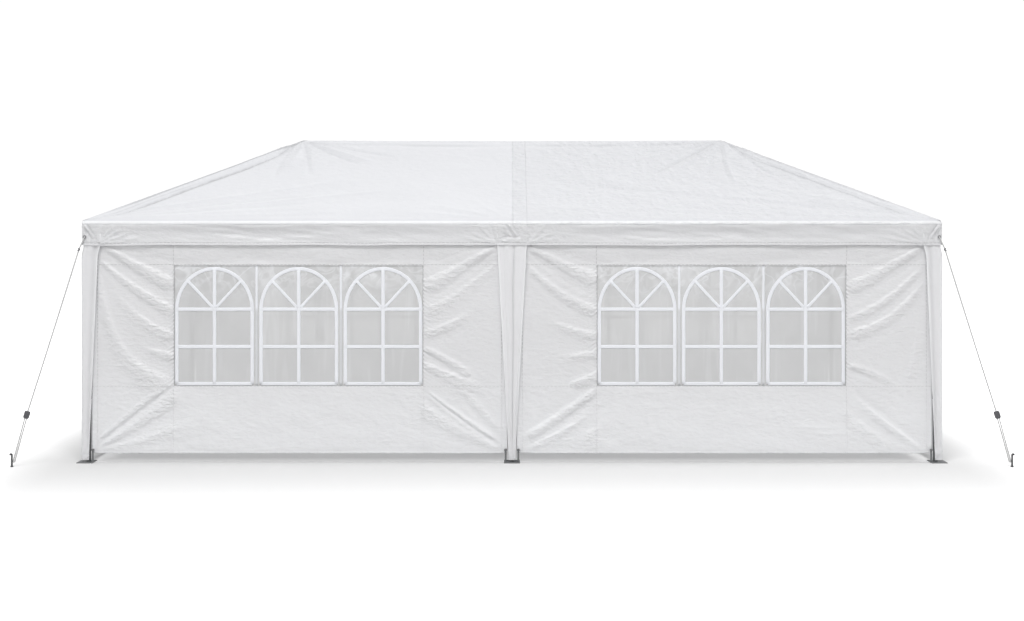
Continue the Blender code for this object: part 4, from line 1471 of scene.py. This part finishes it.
def make_stake_hook(row, column, side_x):
    """The stake's bent top: a rod carried up and over in part of a circle that holds the rope."""
    low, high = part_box(f"guy_stake_{row}_{column}")
    centre = np.array([(low.x + high.x) / 2, (low.y + high.y) / 2, high.z])
    angle = np.linspace(0, math.radians(205), 16)[:, None]
    over = np.array([side_x, 0, 0]) * (HOOK_BEND - HOOK_BEND * np.cos(angle))
    over = over + np.array([0, 0, 1]) * HOOK_BEND * np.sin(angle)
    path = np.concatenate([centre + np.array([[0, 0, -0.02], [0, 0, -0.01]]), centre + over])
    points, quads, uv = tube(path, HOOK_RADIUS, 10)
    name = f"stake_hook_{row}_{column}"
    make_piece(name, points, quads, STAKE_STEEL, uv, welded=True)


# Stage and lights


def make_stage():
    """A pale floor that runs past the horizon.

    It glows more with the distance from the roof's outline, up to white, which paints a soft shadow
    round the tent; and it glows a little under the tent, painted light in the shade there.
    """
    corners = [(x * FLOOR_REACH, y * FLOOR_REACH, -0.0005) for x, y in ((-1, -1), (1, -1), (1, 1), (-1, 1))]
    mesh = bpy.data.meshes.new("floor")
    mesh.from_pydata(corners, [], [(0, 1, 2, 3)])
    floor = link_object("floor", mesh)
    made, g, solid, _ = start_material("floor_pale")
    parts = g.split(solid)
    beyond, inward = [], []
    for axis, half, share in ((0, EAVE_X, SIDE_FADE), (1, EAVE_Y, 1.0)):
        away = g.math("SUBTRACT", g.math("ABSOLUTE", parts[axis]), half)
        beyond.append(g.times(g.math("MAXIMUM", away, 0.0), share))
        inward.append(g.times(away, -1.0))
    squares = g.times_plus(beyond[1], beyond[1], g.times(beyond[0], beyond[0]))
    deep = g.math("MINIMUM", *inward)
    outside = g.ramp(deep, 0.02, 0.07, 1.0, 0.0)
    under = g.ramp(deep, 0.0, UNDER_DEPTH, UNDER_GLOW, 0.0)
    under = g.math("ADD", under, g.ramp(deep, 0.05, 0.22, 0.14, 0.0))
    under = g.times(under, g.math("SUBTRACT", 1.0, outside))
    far = g.ramp(g.math("SQRT", squares), 0.0, FLOOR_FADE, FLOOR_NEAR, FLOOR_FAR)
    eye = g.add("LightPath").outputs["Is Camera Ray"]
    seen = g.times_plus(eye, 1.0 - FLOOR_BOUNCE, FLOOR_BOUNCE)
    g.surface(
        Base_Color=FLOOR_TINT,
        Roughness=0.9,
        Specular_IOR_Level=0.0,
        Emission_Color=(1, 1, 1),
        Emission_Strength=g.times(g.math("ADD", under, g.times(far, outside)), seen),
    )
    mesh.materials.append(made)


def make_lights():
    """A white surround that is dimmer for light than for the eye, a high soft lamp in front, one at the
    right that rakes the cloth, and one behind."""
    scene = bpy.context.scene
    world = bpy.data.worlds.new("studio")
    scene.world = world
    world.use_nodes = True
    g = Graph(world.node_tree)
    back = world.node_tree.nodes["Background"]
    eye = g.add("LightPath").outputs["Is Camera Ray"]
    g.feed(back.inputs["Strength"], g.times_plus(eye, SKY_SEEN - SKY, SKY))
    g.feed(back.inputs["Color"], (1, 1, 1))
    for name, (place, size, power, spot) in LAMPS.items():
        data = bpy.data.lights.new(name, "AREA")
        data.shape = "RECTANGLE"
        data.size, data.size_y = size
        data.energy = power
        lamp = link_object(name, data)
        lamp.location = place
        lamp.rotation_euler = (Vector(spot) - Vector(place)).to_track_quat("-Z", "Y").to_euler()
    scene.view_settings.view_transform = "Standard"


def set_looks():
    """Better finishes for the frame's own steel, which shows as it is."""
    for name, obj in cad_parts.items():
        if name.startswith(("leg_", "truss", "peak_pole")) and not name.startswith("leg_cover"):
            look = FRAME_STEEL
        elif name.startswith("guy_stake"):
            look = STAKE_STEEL
        else:
            continue
        obj.data.materials.clear()
        obj.data.materials.append(look)


make_camera()
set_looks()
make_roof()
make_hem_cord([make_valance(side, k) for k, side in enumerate(("front", "right", "back", "left"))])
PANELS = [
    ("front_left", "front", -PANEL_MIDDLE, OUTER_LEFT, INNER_LEFT),
    ("front_right", "front", PANEL_MIDDLE, INNER_RIGHT, OUTER_RIGHT),
    ("back_right", "back", -PANEL_MIDDLE, OUTER_LEFT, INNER_LEFT),
    ("back_left", "back", PANEL_MIDDLE, INNER_RIGHT, OUTER_RIGHT),
    ("left", "left", 0.0, OUTER_LEFT, OUTER_RIGHT),
    ("right", "right", 0.0, OUTER_LEFT, OUTER_RIGHT),
]
for number, (panel, side, middle, left_folds, right_folds) in enumerate(PANELS):
    make_wall(panel, side, middle, left_folds, right_folds, number)
    make_window(panel, side, number)
for k, (row, side_y) in enumerate((("front", -1), ("back", 1))):
    for j, (column, side_x) in enumerate((("left", -1), ("right", 1))):
        make_corner_cover(f"leg_cover_{row}_{column}", side_x, side_y, 2 * k + j)
        make_guy(row, column, side_x, side_y)
        make_stake_hook(row, column, side_x)
    make_middle_cover(f"leg_cover_{row}_middle", row, k)
make_stage()
make_lights()
